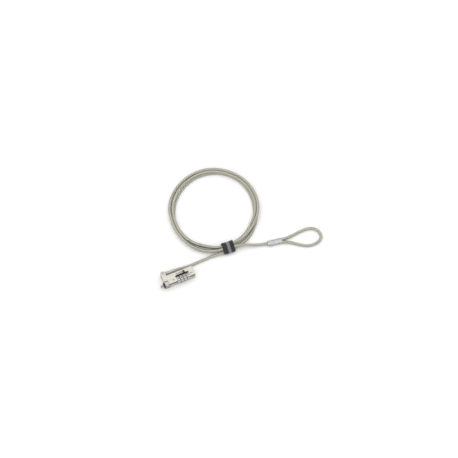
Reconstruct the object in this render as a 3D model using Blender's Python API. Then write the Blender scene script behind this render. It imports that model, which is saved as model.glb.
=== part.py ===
"""A laptop cable lock: a four-dial combination head with a T-bar nose, on a coated steel cable.

The cable leaves a swivelling end fitting at the back of the head, is wound into a flat coil that a
hook-and-loop strap holds, and ends in an eye loop closed by a pressed ferrule.

Sizes below are millimetres, measured from the front left bottom corner of the head's housing:
X runs along the head away from the T-bar, Y runs towards the cable side, Z is up.
The finished model is in metres, with its origin under the middle of the head.
"""

import math

import bmesh
import bpy
from mathutils import Matrix, Vector

MM = 0.001
GAP = 0.3  # clearance between pieces that touch

# The head's housing
BODY_LENGTH = 51.0
BODY_DEPTH = 16.4
BODY_HEIGHT = 12.0
COVER_THICKNESS = 0.8
CORNER_RADIUS = 1.2
EDGE_BEVEL = 0.25
FLOOR_TOP = 1.1
WALL = 1.0
EAR_WIDTH = 7.2
EAR_BACK = 26.0
EAR_CORNER_RADIUS = 2.6
EAR_SLOT = (2.6, 9.4)  # lowest and highest Z of the slot that holds the cable's end fitting
EAR_SLOT_FRONT = 17.6
COVER_BOTTOM = BODY_HEIGHT - COVER_THICKNESS
BASE_TOP = COVER_BOTTOM - GAP

# The axis that the T-bar, the spindle and the dials share runs along X
AXIS_Y = 4.1
AXIS_Z = 6.9

# The T-bar, the pins beside it and the nose
T_TIP = -7.4
T_HEAD_LENGTH = 2.0
T_HEAD_HALF_HEIGHT = 3.1
T_HALF_WIDTH = 1.25
T_NECK_HALF_HEIGHT = 1.2
T_FOOT = (3.6, 5.1)  # the foot that anchors it inside the nose block
T_FOOT_HALF_HEIGHT = 2.6
PIN_OFFSET = 2.2
PIN_RADIUS = 0.65
PIN_TIP = -3.7
NOSE_LENGTH = 5.7
NOSE_Y = (0.3, 7.6)
NOSE_Z = (1.5, 11.9)
NOSE_CORNER = 0.8
WASHER_X = (-2.2, -GAP)
WASHER_RADIUS = 4.6
WASHER_HOLE = 3.2

# The dials and their clutch sleeves
DIAL_COUNT = 4
DIAL_PITCH = 5.55
FIRST_DIAL_X = 23.1
DIAL_RADIUS = 5.5
DIAL_BORE = 3.25
DIAL_WIDTH = 4.3
DIAL_DIGITS = 10
BAY_HALF_WIDTH = DIAL_WIDTH / 2 + GAP
BAY_BACK = 9.9
WINDOW_BOTTOM = 1.9  # of the dial's opening in the front wall
WINDOW_BACK = 7.8  # of the dial's opening in the cover
WINDOW_FRONT = WALL + 0.5
SLEEVE_RADIUS = 2.95
SLEEVE_BORE = 2.4
SLEEVE_HALF_LENGTH = 2.1
GATE_BORE = 1.5
GATE_HALF_LENGTH = 0.6
GATE_HALF_WIDTH = 0.75

# The comb-shaped detent spring behind the dials
DETENT_STRIP_Y = (10.1, 10.6)
DETENT_REACH = 8.45
DETENT_Z = (2.4, 3.2)
DETENT_HALF_FINGER = 0.6

# The sliding lock mechanism
SLIDE_TRAVEL = 2.6
CARRIER_X = (6.9, 8.3)
CARRIER_HALF_Y = 3.0
CARRIER_HALF_Z = 1.9
SPINDLE_RADIUS = 1.2
SPINDLE_END = 44.5
FIN_X = (-1.6, -0.9)  # from its dial's middle
FIN_HEIGHT = 2.1
FIN_HALF_WIDTH = 0.45
BAY_START = 5.8
SPRING_SEAT = (19.4, 20.6)
SPRING_RADIUS = 1.85
SPRING_WIRE = 0.25
SPRING_TURNS = 7
SLIDE_BAR_Y = (10.2, 11.3)
SLIDE_BAR_Z = (6.6, 9.6)
SLIDE_BAR_END = 42.9
CHANNEL_BACK = 11.6
CHANNEL_END = 45.7
CHANNEL_FLOOR = SLIDE_BAR_Z[0] - 0.8

# The slot in the cover, its liner and the thumb slider
SLOT_X = (19.9, 42.5)
SLOT_Y = (8.2, 10.8)
LINER_CHANNEL_Y = (8.8, 10.1)
PAD_X = (22.6, 37.0)
PAD_Y = (11.2, 14.2)
PAD_Z = (12.3, 12.9)
STEM_X = (33.8, 36.5)
STEM_Y = (9.1, 9.8)
LINER_CHANNEL_X = (STEM_X[0] - 0.5, STEM_X[1] + SLIDE_TRAVEL + 0.6)
RIDGE_COUNT = 9
RIDGE_HEIGHT = 0.35
LUG_HEIGHT = 1.1

# Screws and marks
COVER_SCREWS = ((14.0, 13.9), (46.5, 13.9))
BOSS_RADIUS = 1.4
BOSS_BOTTOM = 6.0
SCREW_HEAD_RADIUS = 1.5
SCREW_SHANK_RADIUS = 0.6
SCREW_SINK = 1.6  # depth of the recess for the head
SCREW_HOLE_TOP = 10.4
INDEX_DOTS = ((15.4, 5.7), (45.5, 5.7))
INDEX_RADIUS = 0.9
RESET_RADIUS = 2.3
RESET_X = (48.2, 50.8)

# The cable's end fitting, which swivels on an upright pin in the ear
PIVOT = (3.6, 22.7)
PIVOT_PIN_RADIUS = 1.2
PIVOT_HEAD_RADIUS = 1.9
EYE_RADIUS = 3.0
FITTING_RADIUS = 2.9
FITTING_LENGTH = 21.2
FITTING_Z = 6.0
FITTING_TILT = -3.0  # degrees, from the head's long edge towards its back

# The cable
CABLE_RADIUS = 2.2
COIL_CENTRE = (123.0, 92.8)
COIL_INNER = 61.4
COIL_OUTER = 73.4
COIL_HEIGHT = 9.2
COIL_CORNER = 2.4
STRAP_ANGLE = -94.4  # degrees, from +X about the coil's middle
STRAP_WIDTH = 19.0
STRAP_THICKNESS = 1.5
STRAP_CORNER = 2.0
STRAP_SLACK = 2.3  # room outside the coil, where the lead to the lock comes in
LEAD_TO_LOCK = (
    (25.1, 21.6, 6.0), (29.5, 21.35, 5.9), (35.0, 21.0, 5.2), (42.0, 20.8, 3.8), (49.0, 20.8, 2.7),
    (56.0, 20.9, 2.3), (64.0, 21.0, 2.3), (72.0, 21.2, 2.3), (80.0, 21.3, 2.3), (88.0, 21.2, 2.6),
    (94.5, 20.7, 3.1), (99.0, 20.1, 3.7), (102.5, 19.7, 3.9),
)
LEAD_TO_LOOP = (
    (139.0, 18.2, 7.2), (142.5, 17.2, 6.8), (147.0, 15.7, 6.1), (153.0, 13.6, 5.1),
    (159.0, 11.5, 4.2), (165.0, 9.5, 3.5), (171.0, 7.8, 3.1), (175.0, 6.9, 3.0), (178.2, 6.35, 3.0),
)
END_LOOP = (
    (202.6, 3.3, 3.0), (206.0, 2.9, 2.9), (213.0, 2.7, 2.5), (222.0, 3.2, 2.3), (231.0, 4.1, 2.3),
    (240.0, 4.5, 2.3), (248.0, 4.0, 2.3), (255.0, 1.5, 2.3), (260.0, -3.2, 2.3), (262.6, -9.5, 2.3),
    (262.6, -15.5, 2.3), (259.5, -20.5, 2.3), (253.5, -23.6, 2.3), (245.5, -24.5, 2.3),
    (237.0, -23.0, 2.3), (228.5, -18.6, 2.3), (221.0, -13.0, 2.3), (213.5, -7.2, 2.4),
    (206.5, -3.0, 2.8), (201.9, -1.4, 3.0),
)
FERRULE_CENTRE = (190.2, 3.45, 3.0)
FERRULE_TILT = -9.7
FERRULE_SIZE = (23.4, 9.4, 5.9)

# The origin is under the middle of the head's box, T-bar and dials included
ORIGIN = Vector(
    ((T_TIP + BODY_LENGTH) / 2, (AXIS_Y - DIAL_RADIUS + EAR_BACK) / 2, 0.0)
)
BASIS = {
    "X": Matrix(((0, 0, 1), (1, 0, 0), (0, 1, 0))),
    "Y": Matrix(((1, 0, 0), (0, 0, 1), (0, 1, 0))),
    "Z": Matrix.Identity(3),
}
MATERIALS = {}


# ---------- materials ----------

def material(name, colour, roughness, metallic=0.0):
    """The named Principled material, made once."""
    if name not in MATERIALS:
        made = bpy.data.materials.new(name)
        made.use_nodes = True
        shader = made.node_tree.nodes["Principled BSDF"]
        shader.inputs["Base Color"].default_value = (*colour, 1.0)
        shader.inputs["Roughness"].default_value = roughness
        shader.inputs["Metallic"].default_value = metallic
        made.diffuse_color = (*colour, 1.0)
        MATERIALS[name] = made
    return MATERIALS[name]


def nickel():
    return material("nickel", (0.78, 0.76, 0.70), 0.32, 1.0)


def dark_steel():
    return material("dark_steel", (0.36, 0.36, 0.35), 0.38, 1.0)


def spring_steel():
    return material("spring_steel", (0.50, 0.50, 0.50), 0.30, 1.0)


def aluminium():
    return material("aluminium", (0.86, 0.87, 0.88), 0.30, 1.0)


def black_plastic():
    return material("black_plastic", (0.03, 0.03, 0.03), 0.45)


def dial_plastic():
    return material("dial_plastic", (0.62, 0.60, 0.56), 0.40)


def black_rubber():
    return material("black_rubber", (0.02, 0.02, 0.02), 0.75)


def cable_coat():
    return material("cable_coat", (0.33, 0.31, 0.24), 0.28)


def strap_fabric():
    return material("strap_fabric", (0.03, 0.03, 0.035), 0.90)


# ---------- outlines ----------

def arc_points(centre, radius, start, end, steps):
    """Points along an arc, angles in degrees."""
    found = []
    for step in range(steps + 1):
        angle = math.radians(start + (end - start) * step / steps)
        found.append((centre[0] + radius * math.cos(angle), centre[1] + radius * math.sin(angle)))
    return found


def circle(centre, radius, steps):
    """A closed circle whose first point lies at +u and, with steps in fours, on both axes."""
    return arc_points(centre, radius, 0.0, 360.0, steps)[:-1]


def rounded(corners, steps=4):
    """A closed outline from (u, v, fillet radius) corners, sharp where the radius is 0."""
    outline = []
    count = len(corners)
    for index, (u, v, radius) in enumerate(corners):
        corner = Vector((u, v))
        if not radius:
            outline.append((u, v))
            continue
        before = (Vector(corners[index - 1][:2]) - corner).normalized()
        after = (Vector(corners[(index + 1) % count][:2]) - corner).normalized()
        half = before.angle(after) / 2
        middle = corner + (before + after).normalized() * radius / math.sin(half)
        first = corner + before * radius / math.tan(half) - middle
        last = corner + after * radius / math.tan(half) - middle
        turn = first.angle_signed(last)
        for step in range(steps + 1):
            share = step / steps
            outline.append(tuple(middle + Matrix.Rotation(-turn * share, 2) @ first))
    return outline


def rounded_rectangle(u, v, radius, steps=4):
    """The outline between the (low, high) pairs u and v."""
    return rounded(
        ((u[0], v[0], radius), (u[1], v[0], radius), (u[1], v[1], radius), (u[0], v[1], radius)),
        steps,
    )


def house_outline():
    """The head seen from above: a bar with an ear at its back left."""
    ear = EAR_WIDTH
    return rounded(
        (
            (0.0, 0.0, CORNER_RADIUS),
            (BODY_LENGTH, 0.0, CORNER_RADIUS),
            (BODY_LENGTH, BODY_DEPTH, CORNER_RADIUS),
            (ear, BODY_DEPTH, 1.0),
            (ear, EAR_BACK, EAR_CORNER_RADIUS),
            (0.0, EAR_BACK, EAR_CORNER_RADIUS),
        )
    )


# ---------- mesh tools ----------

def add_prism(mesh, outline, axis, low, high):
    """Extrudes a closed outline along an axis. On X it holds (y, z), on Y (x, z), on Z (x, y)."""
    ends = []
    for along in (low, high):
        ends.append([mesh.verts.new(BASIS[axis] @ Vector((u, v, along))) for u, v in outline])
    first, second = ends
    mesh.faces.new(first)
    mesh.faces.new(second)
    for index in range(len(outline)):
        after = (index + 1) % len(outline)
        mesh.faces.new((first[index], first[after], second[after], second[index]))


def add_box(mesh, x, y, z):
    """A box between (low, high) pairs."""
    outline = ((x[0], y[0]), (x[1], y[0]), (x[1], y[1]), (x[0], y[1]))
    add_prism(mesh, outline, "Z", z[0], z[1])


def add_rings(mesh, rings, closed):
    """Joins loops of vertices in order. A loop of one vertex is a pole."""
    pairs = list(zip(rings, rings[1:]))
    if closed:
        pairs.append((rings[-1], rings[0]))
    for ring, following in pairs:
        steps = max(len(ring), len(following))
        for index in range(steps):
            after = (index + 1) % steps
            if len(ring) == 1:
                mesh.faces.new((ring[0], following[after], following[index]))
            elif len(following) == 1:
                mesh.faces.new((ring[index], ring[after], following[0]))
            else:
                corners = (ring[index], ring[after], following[after], following[index])
                mesh.faces.new(corners)


def add_turned(mesh, profile, axis, centre, steps):
    """Turns a profile of (along, radius) points about an axis through centre.

    A profile that starts and ends on the axis makes a solid, any other makes a closed ring.
    """
    rings = []
    for along, radius in profile:
        if radius == 0.0:
            rings.append([mesh.verts.new(BASIS[axis] @ Vector((*centre, along)))])
            continue
        ring = circle(centre, radius, steps)
        rings.append([mesh.verts.new(BASIS[axis] @ Vector((u, v, along))) for u, v in ring])
    add_rings(mesh, rings, closed=profile[0][1] > 0.0)


def rod_profile(low, high, radius):
    return ((low, 0.0), (low, radius), (high, radius), (high, 0.0))


def add_rod(mesh, axis, centre, low, high, radius, steps=20):
    add_turned(mesh, rod_profile(low, high, radius), axis, centre, steps)


def make(name, mesh, look, pivot=(0.0, 0.0, 0.0), smooth=True):
    """Turns a mesh in millimetres into an object whose origin is at pivot."""
    bmesh.ops.recalc_face_normals(mesh, faces=mesh.faces)
    pivot = Vector(pivot)
    bmesh.ops.transform(
        mesh, matrix=Matrix.Scale(MM, 4) @ Matrix.Translation(-pivot), verts=mesh.verts
    )
    data = bpy.data.meshes.new(name)
    mesh.to_mesh(data)
    mesh.free()
    made = bpy.data.objects.new(name, data)
    bpy.context.scene.collection.objects.link(made)
    made.location = (pivot - ORIGIN) * MM
    data.materials.append(look)
    if smooth:
        data.shade_smooth()
        data.set_sharp_from_angle(angle=math.radians(35))
    return made


def tool(name, mesh, pivot=(0.0, 0.0, 0.0)):
    """A hidden object for a Boolean."""
    made = make(name, mesh, dark_steel(), pivot, smooth=False)
    made.hide_render = True
    made.display_type = "WIRE"
    return made


def combine(target, other, operation):
    """Adds a Boolean that cuts with the other object, or joins it on."""
    modifier = target.modifiers.new(other.name, "BOOLEAN")
    modifier.operation = operation
    modifier.solver = "EXACT"
    modifier.object = other


def soften(target, width):
    modifier = target.modifiers.new("soften", "BEVEL")
    modifier.width = width * MM
    modifier.segments = 2
    modifier.limit_method = "ANGLE"
    modifier.angle_limit = math.radians(50)


def dial_centres():
    return [FIRST_DIAL_X + DIAL_PITCH * index for index in range(DIAL_COUNT)]


# ---------- housing ----------

def make_base():
    """The lower shell: floor, walls, dial bays, slide channel and the ear's fork."""
    mesh = bmesh.new()
    add_prism(mesh, house_outline(), "Z", 0.0, BASE_TOP)
    base = make("housing_base", mesh, nickel())
    soften(base, EDGE_BEVEL)

    over = BODY_HEIGHT + 1.0
    mesh = bmesh.new()
    add_box(mesh, (-1.0, NOSE_LENGTH + GAP), (-1.0, NOSE_Y[1] + GAP), (NOSE_Z[0] - GAP, over))
    for centre in dial_centres():
        bay = (centre - BAY_HALF_WIDTH, centre + BAY_HALF_WIDTH)
        add_box(mesh, bay, (WALL, BAY_BACK), (FLOOR_TOP, over))
    combine(base, tool("cut_bays", mesh), "DIFFERENCE")

    mesh = bmesh.new()
    for centre in dial_centres():
        bay = (centre - BAY_HALF_WIDTH, centre + BAY_HALF_WIDTH)
        add_box(mesh, bay, (-1.0, WINDOW_FRONT), (WINDOW_BOTTOM, over))
    add_box(mesh, (BAY_START, SPRING_SEAT[0]), (WALL, BAY_BACK + 0.1), (FLOOR_TOP, over))
    combine(base, tool("cut_windows", mesh), "DIFFERENCE")

    mesh = bmesh.new()
    add_box(mesh, (BAY_START, CHANNEL_END), (BAY_BACK - 0.1, CHANNEL_BACK), (CHANNEL_FLOOR, over))
    combine(base, tool("cut_channel", mesh), "DIFFERENCE")

    mesh = bmesh.new()
    last = dial_centres()[-1]
    add_rod(mesh, "X", (AXIS_Y, AXIS_Z), SPRING_SEAT[0] - 0.5, last, SPINDLE_RADIUS + 0.4)
    add_rod(mesh, "X", (AXIS_Y, AXIS_Z), RESET_X[0] - GAP, BODY_LENGTH + 1, RESET_RADIUS + GAP, 24)
    combine(base, tool("cut_seat", mesh), "DIFFERENCE")

    mesh = bmesh.new()
    first = FIRST_DIAL_X - BAY_HALF_WIDTH + 0.2
    add_rod(mesh, "X", (AXIS_Y, AXIS_Z), first, RESET_X[0] - GAP + 0.1, SLEEVE_BORE + 0.1, 24)
    add_box(mesh, LINER_CHANNEL_X, (LINER_CHANNEL_Y[0], BAY_BACK + 0.3), (SLIDE_BAR_Z[1], over))
    combine(base, tool("cut_spindle_way", mesh), "DIFFERENCE")

    mesh = bmesh.new()
    comb = (FIRST_DIAL_X - BAY_HALF_WIDTH, last + BAY_HALF_WIDTH)
    comb_z = (DETENT_Z[0] - GAP, DETENT_Z[1] + GAP)
    add_box(mesh, comb, (BAY_BACK - 0.2, DETENT_STRIP_Y[1] + GAP), comb_z)
    add_box(mesh, (-1.0, EAR_WIDTH + 1.0), (EAR_SLOT_FRONT, EAR_BACK + 1.0), EAR_SLOT)
    for screw in COVER_SCREWS:
        profile = (
            (-1.0, 0.0), (-1.0, SCREW_HEAD_RADIUS + GAP), (SCREW_SINK, SCREW_HEAD_RADIUS + GAP),
            (SCREW_SINK, SCREW_SHANK_RADIUS + GAP), (BOSS_BOTTOM - GAP, SCREW_SHANK_RADIUS + GAP),
            (BOSS_BOTTOM - GAP, BOSS_RADIUS + GAP), (over, BOSS_RADIUS + GAP), (over, 0.0),
        )
        add_turned(mesh, profile, "Z", screw, 16)
    combine(base, tool("cut_details", mesh), "DIFFERENCE")

    mesh = bmesh.new()
    add_rod(mesh, "Z", PIVOT, -1.0, over, PIVOT_PIN_RADIUS + GAP, 16)
    combine(base, tool("cut_pivot_hole", mesh), "DIFFERENCE")


def make_cover():
    """The top plate, with a window for the dials, the slider's slot and two screw bosses."""
    mesh = bmesh.new()
    add_prism(mesh, house_outline(), "Z", COVER_BOTTOM, BODY_HEIGHT)
    cover = make("housing_cover", mesh, nickel())
    soften(cover, EDGE_BEVEL)

    mesh = bmesh.new()
    for screw in COVER_SCREWS:
        add_rod(mesh, "Z", screw, BOSS_BOTTOM, COVER_BOTTOM + 0.3, BOSS_RADIUS, 16)
    combine(cover, tool("add_bosses", mesh), "UNION")

    below, over = COVER_BOTTOM - 1.0, BODY_HEIGHT + 1.0
    mesh = bmesh.new()
    add_box(mesh, (-1.0, NOSE_LENGTH + GAP), (-1.0, NOSE_Y[1] + GAP), (below, over))
    window = (FIRST_DIAL_X - BAY_HALF_WIDTH, dial_centres()[-1] + BAY_HALF_WIDTH)
    add_box(mesh, window, (-1.0, WINDOW_BACK), (below, over))
    slot = rounded_rectangle(SLOT_X, SLOT_Y, 0.5, 3)
    add_prism(mesh, slot, "Z", below, over)
    for dot in INDEX_DOTS:
        add_rod(mesh, "Z", dot, BODY_HEIGHT - 0.5, over, INDEX_RADIUS + 0.15, 16)
    add_rod(mesh, "Z", PIVOT, below, over, PIVOT_HEAD_RADIUS + GAP, 24)
    for screw in COVER_SCREWS:
        add_rod(mesh, "Z", screw, BOSS_BOTTOM - 1.0, SCREW_HOLE_TOP, SCREW_SHANK_RADIUS + GAP, 16)
    combine(cover, tool("cut_cover", mesh), "DIFFERENCE")


def make_cover_screws():
    """Two countersunk screws driven from below."""
    for index, screw in enumerate(COVER_SCREWS, 1):
        mesh = bmesh.new()
        profile = (
            (0.15, 0.0),
            (0.15, SCREW_HEAD_RADIUS),
            (1.0, SCREW_HEAD_RADIUS),
            (1.3, SCREW_SHANK_RADIUS),
            (SCREW_HOLE_TOP - 0.8, SCREW_SHANK_RADIUS),
            (SCREW_HOLE_TOP - 0.4, SCREW_SHANK_RADIUS / 2),
            (SCREW_HOLE_TOP - 0.4, 0.0),
        )
        add_turned(mesh, profile, "Z", screw, 16)
        made = make(f"cover_screw_{index}", mesh, dark_steel())
        mesh = bmesh.new()
        add_box(mesh, (screw[0] - 1.1, screw[0] + 1.1), (screw[1] - 0.2, screw[1] + 0.2), (-1.0, 0.55))
        combine(made, tool(f"cut_screw_slot_{index}", mesh), "DIFFERENCE")


def make_index_dots():
    """The marks beside the dials that the code is read against."""
    for index, dot in enumerate(INDEX_DOTS, 1):
        mesh = bmesh.new()
        low = BODY_HEIGHT - 0.5 + 0.15
        profile = (
            (low, 0.0), (low, INDEX_RADIUS), (BODY_HEIGHT, INDEX_RADIUS), (BODY_HEIGHT + 0.12, 0.0),
        )
        add_turned(mesh, profile, "Z", dot, 16)
        make(f"index_dot_{index}", mesh, black_plastic())


# ---------- nose ----------

def make_nose():
    """The steel block that carries the T-bar and guides the two pins, and its rubber washer."""
    mesh = bmesh.new()
    add_prism(mesh, rounded_rectangle(NOSE_Y, NOSE_Z, NOSE_CORNER, 5), "X", 0.0, NOSE_LENGTH)
    block = make("nose_block", mesh, nickel())
    soften(block, EDGE_BEVEL)
    mesh = bmesh.new()
    for side in (-1, 1):
        centre = (AXIS_Y + side * PIN_OFFSET, AXIS_Z)
        add_rod(mesh, "X", centre, -1.0, NOSE_LENGTH + 1.0, PIN_RADIUS + GAP, 16)
    combine(block, tool("cut_pin_ways", mesh), "DIFFERENCE")
    mesh = bmesh.new()
    width = T_HALF_WIDTH + GAP
    neck, foot = T_NECK_HALF_HEIGHT + GAP, T_FOOT_HALF_HEIGHT + GAP
    outline = (
        (-1.0, AXIS_Z - neck), (T_FOOT[0] - GAP, AXIS_Z - neck), (T_FOOT[0] - GAP, AXIS_Z - foot),
        (NOSE_LENGTH + 1.0, AXIS_Z - foot), (NOSE_LENGTH + 1.0, AXIS_Z + foot),
        (T_FOOT[0] - GAP, AXIS_Z + foot), (T_FOOT[0] - GAP, AXIS_Z + neck), (-1.0, AXIS_Z + neck),
    )
    add_prism(mesh, outline, "Y", AXIS_Y - width, AXIS_Y + width)
    combine(block, tool("cut_t_way", mesh), "DIFFERENCE")

    mesh = bmesh.new()
    low, high = WASHER_X
    edge = 0.3
    profile = (
        (low, WASHER_HOLE), (low, WASHER_RADIUS - edge), (low + edge, WASHER_RADIUS),
        (high, WASHER_RADIUS), (high, WASHER_HOLE),
    )
    add_turned(mesh, profile, "X", (AXIS_Y, AXIS_Z), 32)
    make("nose_washer", mesh, black_rubber())


def make_t_bar():
    """The fixed T-bar: its head turns behind the wall of a standard laptop security slot."""
    mesh = bmesh.new()
    head, neck, foot = T_HEAD_HALF_HEIGHT, T_NECK_HALF_HEIGHT, T_FOOT_HALF_HEIGHT
    outline = (
        (T_TIP, AXIS_Z - head), (T_TIP + T_HEAD_LENGTH, AXIS_Z - head),
        (T_TIP + T_HEAD_LENGTH, AXIS_Z - neck), (T_FOOT[0], AXIS_Z - neck),
        (T_FOOT[0], AXIS_Z - foot), (T_FOOT[1], AXIS_Z - foot), (T_FOOT[1], AXIS_Z + foot),
        (T_FOOT[0], AXIS_Z + foot), (T_FOOT[0], AXIS_Z + neck),
        (T_TIP + T_HEAD_LENGTH, AXIS_Z + neck), (T_TIP + T_HEAD_LENGTH, AXIS_Z + head),
        (T_TIP, AXIS_Z + head),
    )
    add_prism(mesh, outline, "Y", AXIS_Y - T_HALF_WIDTH, AXIS_Y + T_HALF_WIDTH)
    bar = make("t_bar", mesh, dark_steel())
    soften(bar, 0.2)


# ---------- sliding mechanism ----------

def make_pin_carrier():
    """The plate with the two pins that fill the slot beside the T-bar and stop it turning back."""
    mesh = bmesh.new()
    sides = (AXIS_Y - CARRIER_HALF_Y, AXIS_Y + CARRIER_HALF_Y)
    heights = (AXIS_Z - CARRIER_HALF_Z, AXIS_Z + CARRIER_HALF_Z)
    add_box(mesh, CARRIER_X, sides, heights)
    carrier = make("pin_carrier", mesh, spring_steel())
    mesh = bmesh.new()
    for side in (-1, 1):
        centre = (AXIS_Y + side * PIN_OFFSET, AXIS_Z)
        profile = (
            (PIN_TIP, 0.0), (PIN_TIP, PIN_RADIUS - 0.2), (PIN_TIP + 0.2, PIN_RADIUS),
            (CARRIER_X[0] + 0.7, PIN_RADIUS), (CARRIER_X[0] + 0.7, 0.0),
        )
        add_turned(mesh, profile, "X", centre, 16)
    combine(carrier, tool("add_pins", mesh), "UNION")


def make_spindle():
    """The rod through the dials. Its fins pass the sleeves' gates only when the code is set."""
    mesh = bmesh.new()
    start = CARRIER_X[1] + GAP
    add_rod(mesh, "X", (AXIS_Y, AXIS_Z), start, SPINDLE_END, SPINDLE_RADIUS, 16)
    spindle = make("spindle", mesh, spring_steel())
    mesh = bmesh.new()
    for centre in dial_centres():
        add_box(
            mesh,
            (centre + FIN_X[0], centre + FIN_X[1]),
            (AXIS_Y - FIN_HALF_WIDTH, AXIS_Y + FIN_HALF_WIDTH),
            (AXIS_Z + 0.5, AXIS_Z + FIN_HEIGHT),
        )
    combine(spindle, tool("add_fins", mesh), "UNION")


def make_slide_bar():
    """The flat bar behind the dials that ties the thumb slider to the pin carrier."""
    mesh = bmesh.new()
    start = AXIS_Y + CARRIER_HALF_Y + GAP
    outline = (
        (CARRIER_X[0], start), (CARRIER_X[1], start), (CARRIER_X[1], SLIDE_BAR_Y[0]),
        (SLIDE_BAR_END, SLIDE_BAR_Y[0]), (SLIDE_BAR_END, SLIDE_BAR_Y[1]),
        (CARRIER_X[0], SLIDE_BAR_Y[1]),
    )
    add_prism(mesh, outline, "Z", SLIDE_BAR_Z[0], SLIDE_BAR_Z[1])
    make("slide_bar", mesh, spring_steel(), smooth=False)


def ridged_outline():
    """The thumb pad's side view: a low plate with ridges and a raised lug at its right end."""
    low, high = PAD_Z
    lug_start = STEM_X[0]
    ridge_pitch = (lug_start - PAD_X[0]) / RIDGE_COUNT
    outline = [(PAD_X[1], low), (PAD_X[1], high + LUG_HEIGHT - 0.3)]
    outline.append((PAD_X[1] - 0.3, high + LUG_HEIGHT))
    outline.append((lug_start + 0.3, high + LUG_HEIGHT))
    outline.append((lug_start, high + LUG_HEIGHT - 0.3))
    outline.append((lug_start, high))
    for index in reversed(range(RIDGE_COUNT)):
        start = PAD_X[0] + ridge_pitch * (index + 0.15)
        outline.append((start + ridge_pitch * 0.7, high))
        outline.append((start + ridge_pitch * 0.5, high + RIDGE_HEIGHT))
        outline.append((start + ridge_pitch * 0.2, high + RIDGE_HEIGHT))
        outline.append((start, high))
    outline.append((PAD_X[0], low))
    return outline


def make_thumb_slider():
    """The slider on top of the cover, with its stem down through the slot."""
    mesh = bmesh.new()
    add_prism(mesh, ridged_outline(), "Y", PAD_Y[0], PAD_Y[1])
    slider = make("thumb_slider", mesh, nickel(), smooth=False)
    mesh = bmesh.new()
    add_box(mesh, STEM_X, (STEM_Y[0], PAD_Y[0] + 0.5), (PAD_Z[0] + 0.02, PAD_Z[1] + 0.3))
    combine(slider, tool("add_arm", mesh), "UNION")
    mesh = bmesh.new()
    stem = (STEM_X[0] + 0.1, STEM_X[1] - 0.1)
    add_box(mesh, stem, STEM_Y, (SLIDE_BAR_Z[1] + GAP, PAD_Z[1]))
    combine(slider, tool("add_stem", mesh), "UNION")
    mesh = bmesh.new()
    foot = (STEM_X[0] - 0.1, STEM_X[1] + 0.1)
    low = SLIDE_BAR_Z[1] + GAP - 0.02
    add_box(mesh, foot, (STEM_Y[0] + 0.02, SLIDE_BAR_Y[1]), (low, low + 0.8))
    combine(slider, tool("add_foot", mesh), "UNION")


def make_slot_liner():
    """The black plastic strip in the cover's slot, open where the slider's stem runs."""
    mesh = bmesh.new()
    x = (SLOT_X[0] + GAP, SLOT_X[1] - GAP)
    y = (SLOT_Y[0] + GAP, SLOT_Y[1] - GAP)
    add_prism(mesh, rounded_rectangle(x, y, 0.3, 3), "Z", COVER_BOTTOM - 0.1, BODY_HEIGHT - 0.1)
    liner = make("slot_liner", mesh, black_plastic())
    mesh = bmesh.new()
    add_box(mesh, LINER_CHANNEL_X, LINER_CHANNEL_Y, (COVER_BOTTOM - 1.0, BODY_HEIGHT + 1.0))
    combine(liner, tool("cut_liner_channel", mesh), "DIFFERENCE")


def add_tube(mesh, centres, radius, steps):
    """A tube with flat ends along a line of points, its section turned with the line."""
    rings = []
    side = Vector((0.0, 0.0, 1.0))
    for index, centre in enumerate(centres):
        ahead = centres[min(index + 1, len(centres) - 1)]
        behind = centres[max(index - 1, 0)]
        along = (ahead - behind).normalized()
        side = (side - along * side.dot(along)).normalized()
        across = along.cross(side)
        ring = []
        for u, v in circle((0.0, 0.0), radius, steps):
            ring.append(mesh.verts.new(centre + side * u + across * v))
        rings.append(ring)
    add_rings(mesh, rings, closed=False)
    mesh.faces.new(rings[0])
    mesh.faces.new(rings[-1])


def make_return_spring():
    """The compression spring that pushes the pins out, between the carrier and its seat."""
    start = CARRIER_X[1] + GAP + SPRING_WIRE
    end = SPRING_SEAT[0] - GAP - SPRING_WIRE
    steps = SPRING_TURNS * 12
    centres = []
    for step in range(steps + 1):
        share = step / steps
        angle = math.tau * SPRING_TURNS * share
        y = AXIS_Y + SPRING_RADIUS * math.cos(angle)
        z = AXIS_Z + SPRING_RADIUS * math.sin(angle)
        centres.append(Vector((start + (end - start) * share, y, z)))
    mesh = bmesh.new()
    add_tube(mesh, centres, SPRING_WIRE, 6)
    make("return_spring", mesh, spring_steel())


def make_detent_spring():
    """The comb-shaped leaf behind the dials, one finger for each."""
    front, back = DETENT_STRIP_Y
    half_finger = DETENT_HALF_FINGER
    left = FIRST_DIAL_X - BAY_HALF_WIDTH + GAP
    right = dial_centres()[-1] + BAY_HALF_WIDTH - GAP
    outline = [(right, front), (right, back), (left, back), (left, front)]
    for centre in dial_centres():
        outline.append((centre - half_finger, front))
        outline.append((centre - half_finger / 2, DETENT_REACH))
        outline.append((centre + half_finger / 2, DETENT_REACH))
        outline.append((centre + half_finger, front))
    mesh = bmesh.new()
    add_prism(mesh, outline, "Z", *DETENT_Z)
    make("detent_spring", mesh, spring_steel(), smooth=False)


def make_reset_screw():
    """The slotted screw in the right end that lets the code be changed."""
    mesh = bmesh.new()
    low, high = RESET_X
    edge = 0.25
    profile = (
        (low, 0.0), (low, RESET_RADIUS), (high - edge, RESET_RADIUS),
        (high, RESET_RADIUS - edge), (high, 0.0),
    )
    centre = (AXIS_Y, AXIS_Z)
    pivot = ((low + high) / 2, *centre)
    add_turned(mesh, profile, "X", centre, 32)
    screw = make("reset_screw", mesh, dark_steel(), pivot)
    mesh = bmesh.new()
    add_box(mesh, (high - 0.8, high + 1), (AXIS_Y - 0.45, AXIS_Y + 0.45), (AXIS_Z - 4, AXIS_Z + 4))
    combine(screw, tool("cut_screwdriver_slot", mesh, pivot), "DIFFERENCE")


# ---------- dials ----------

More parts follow.
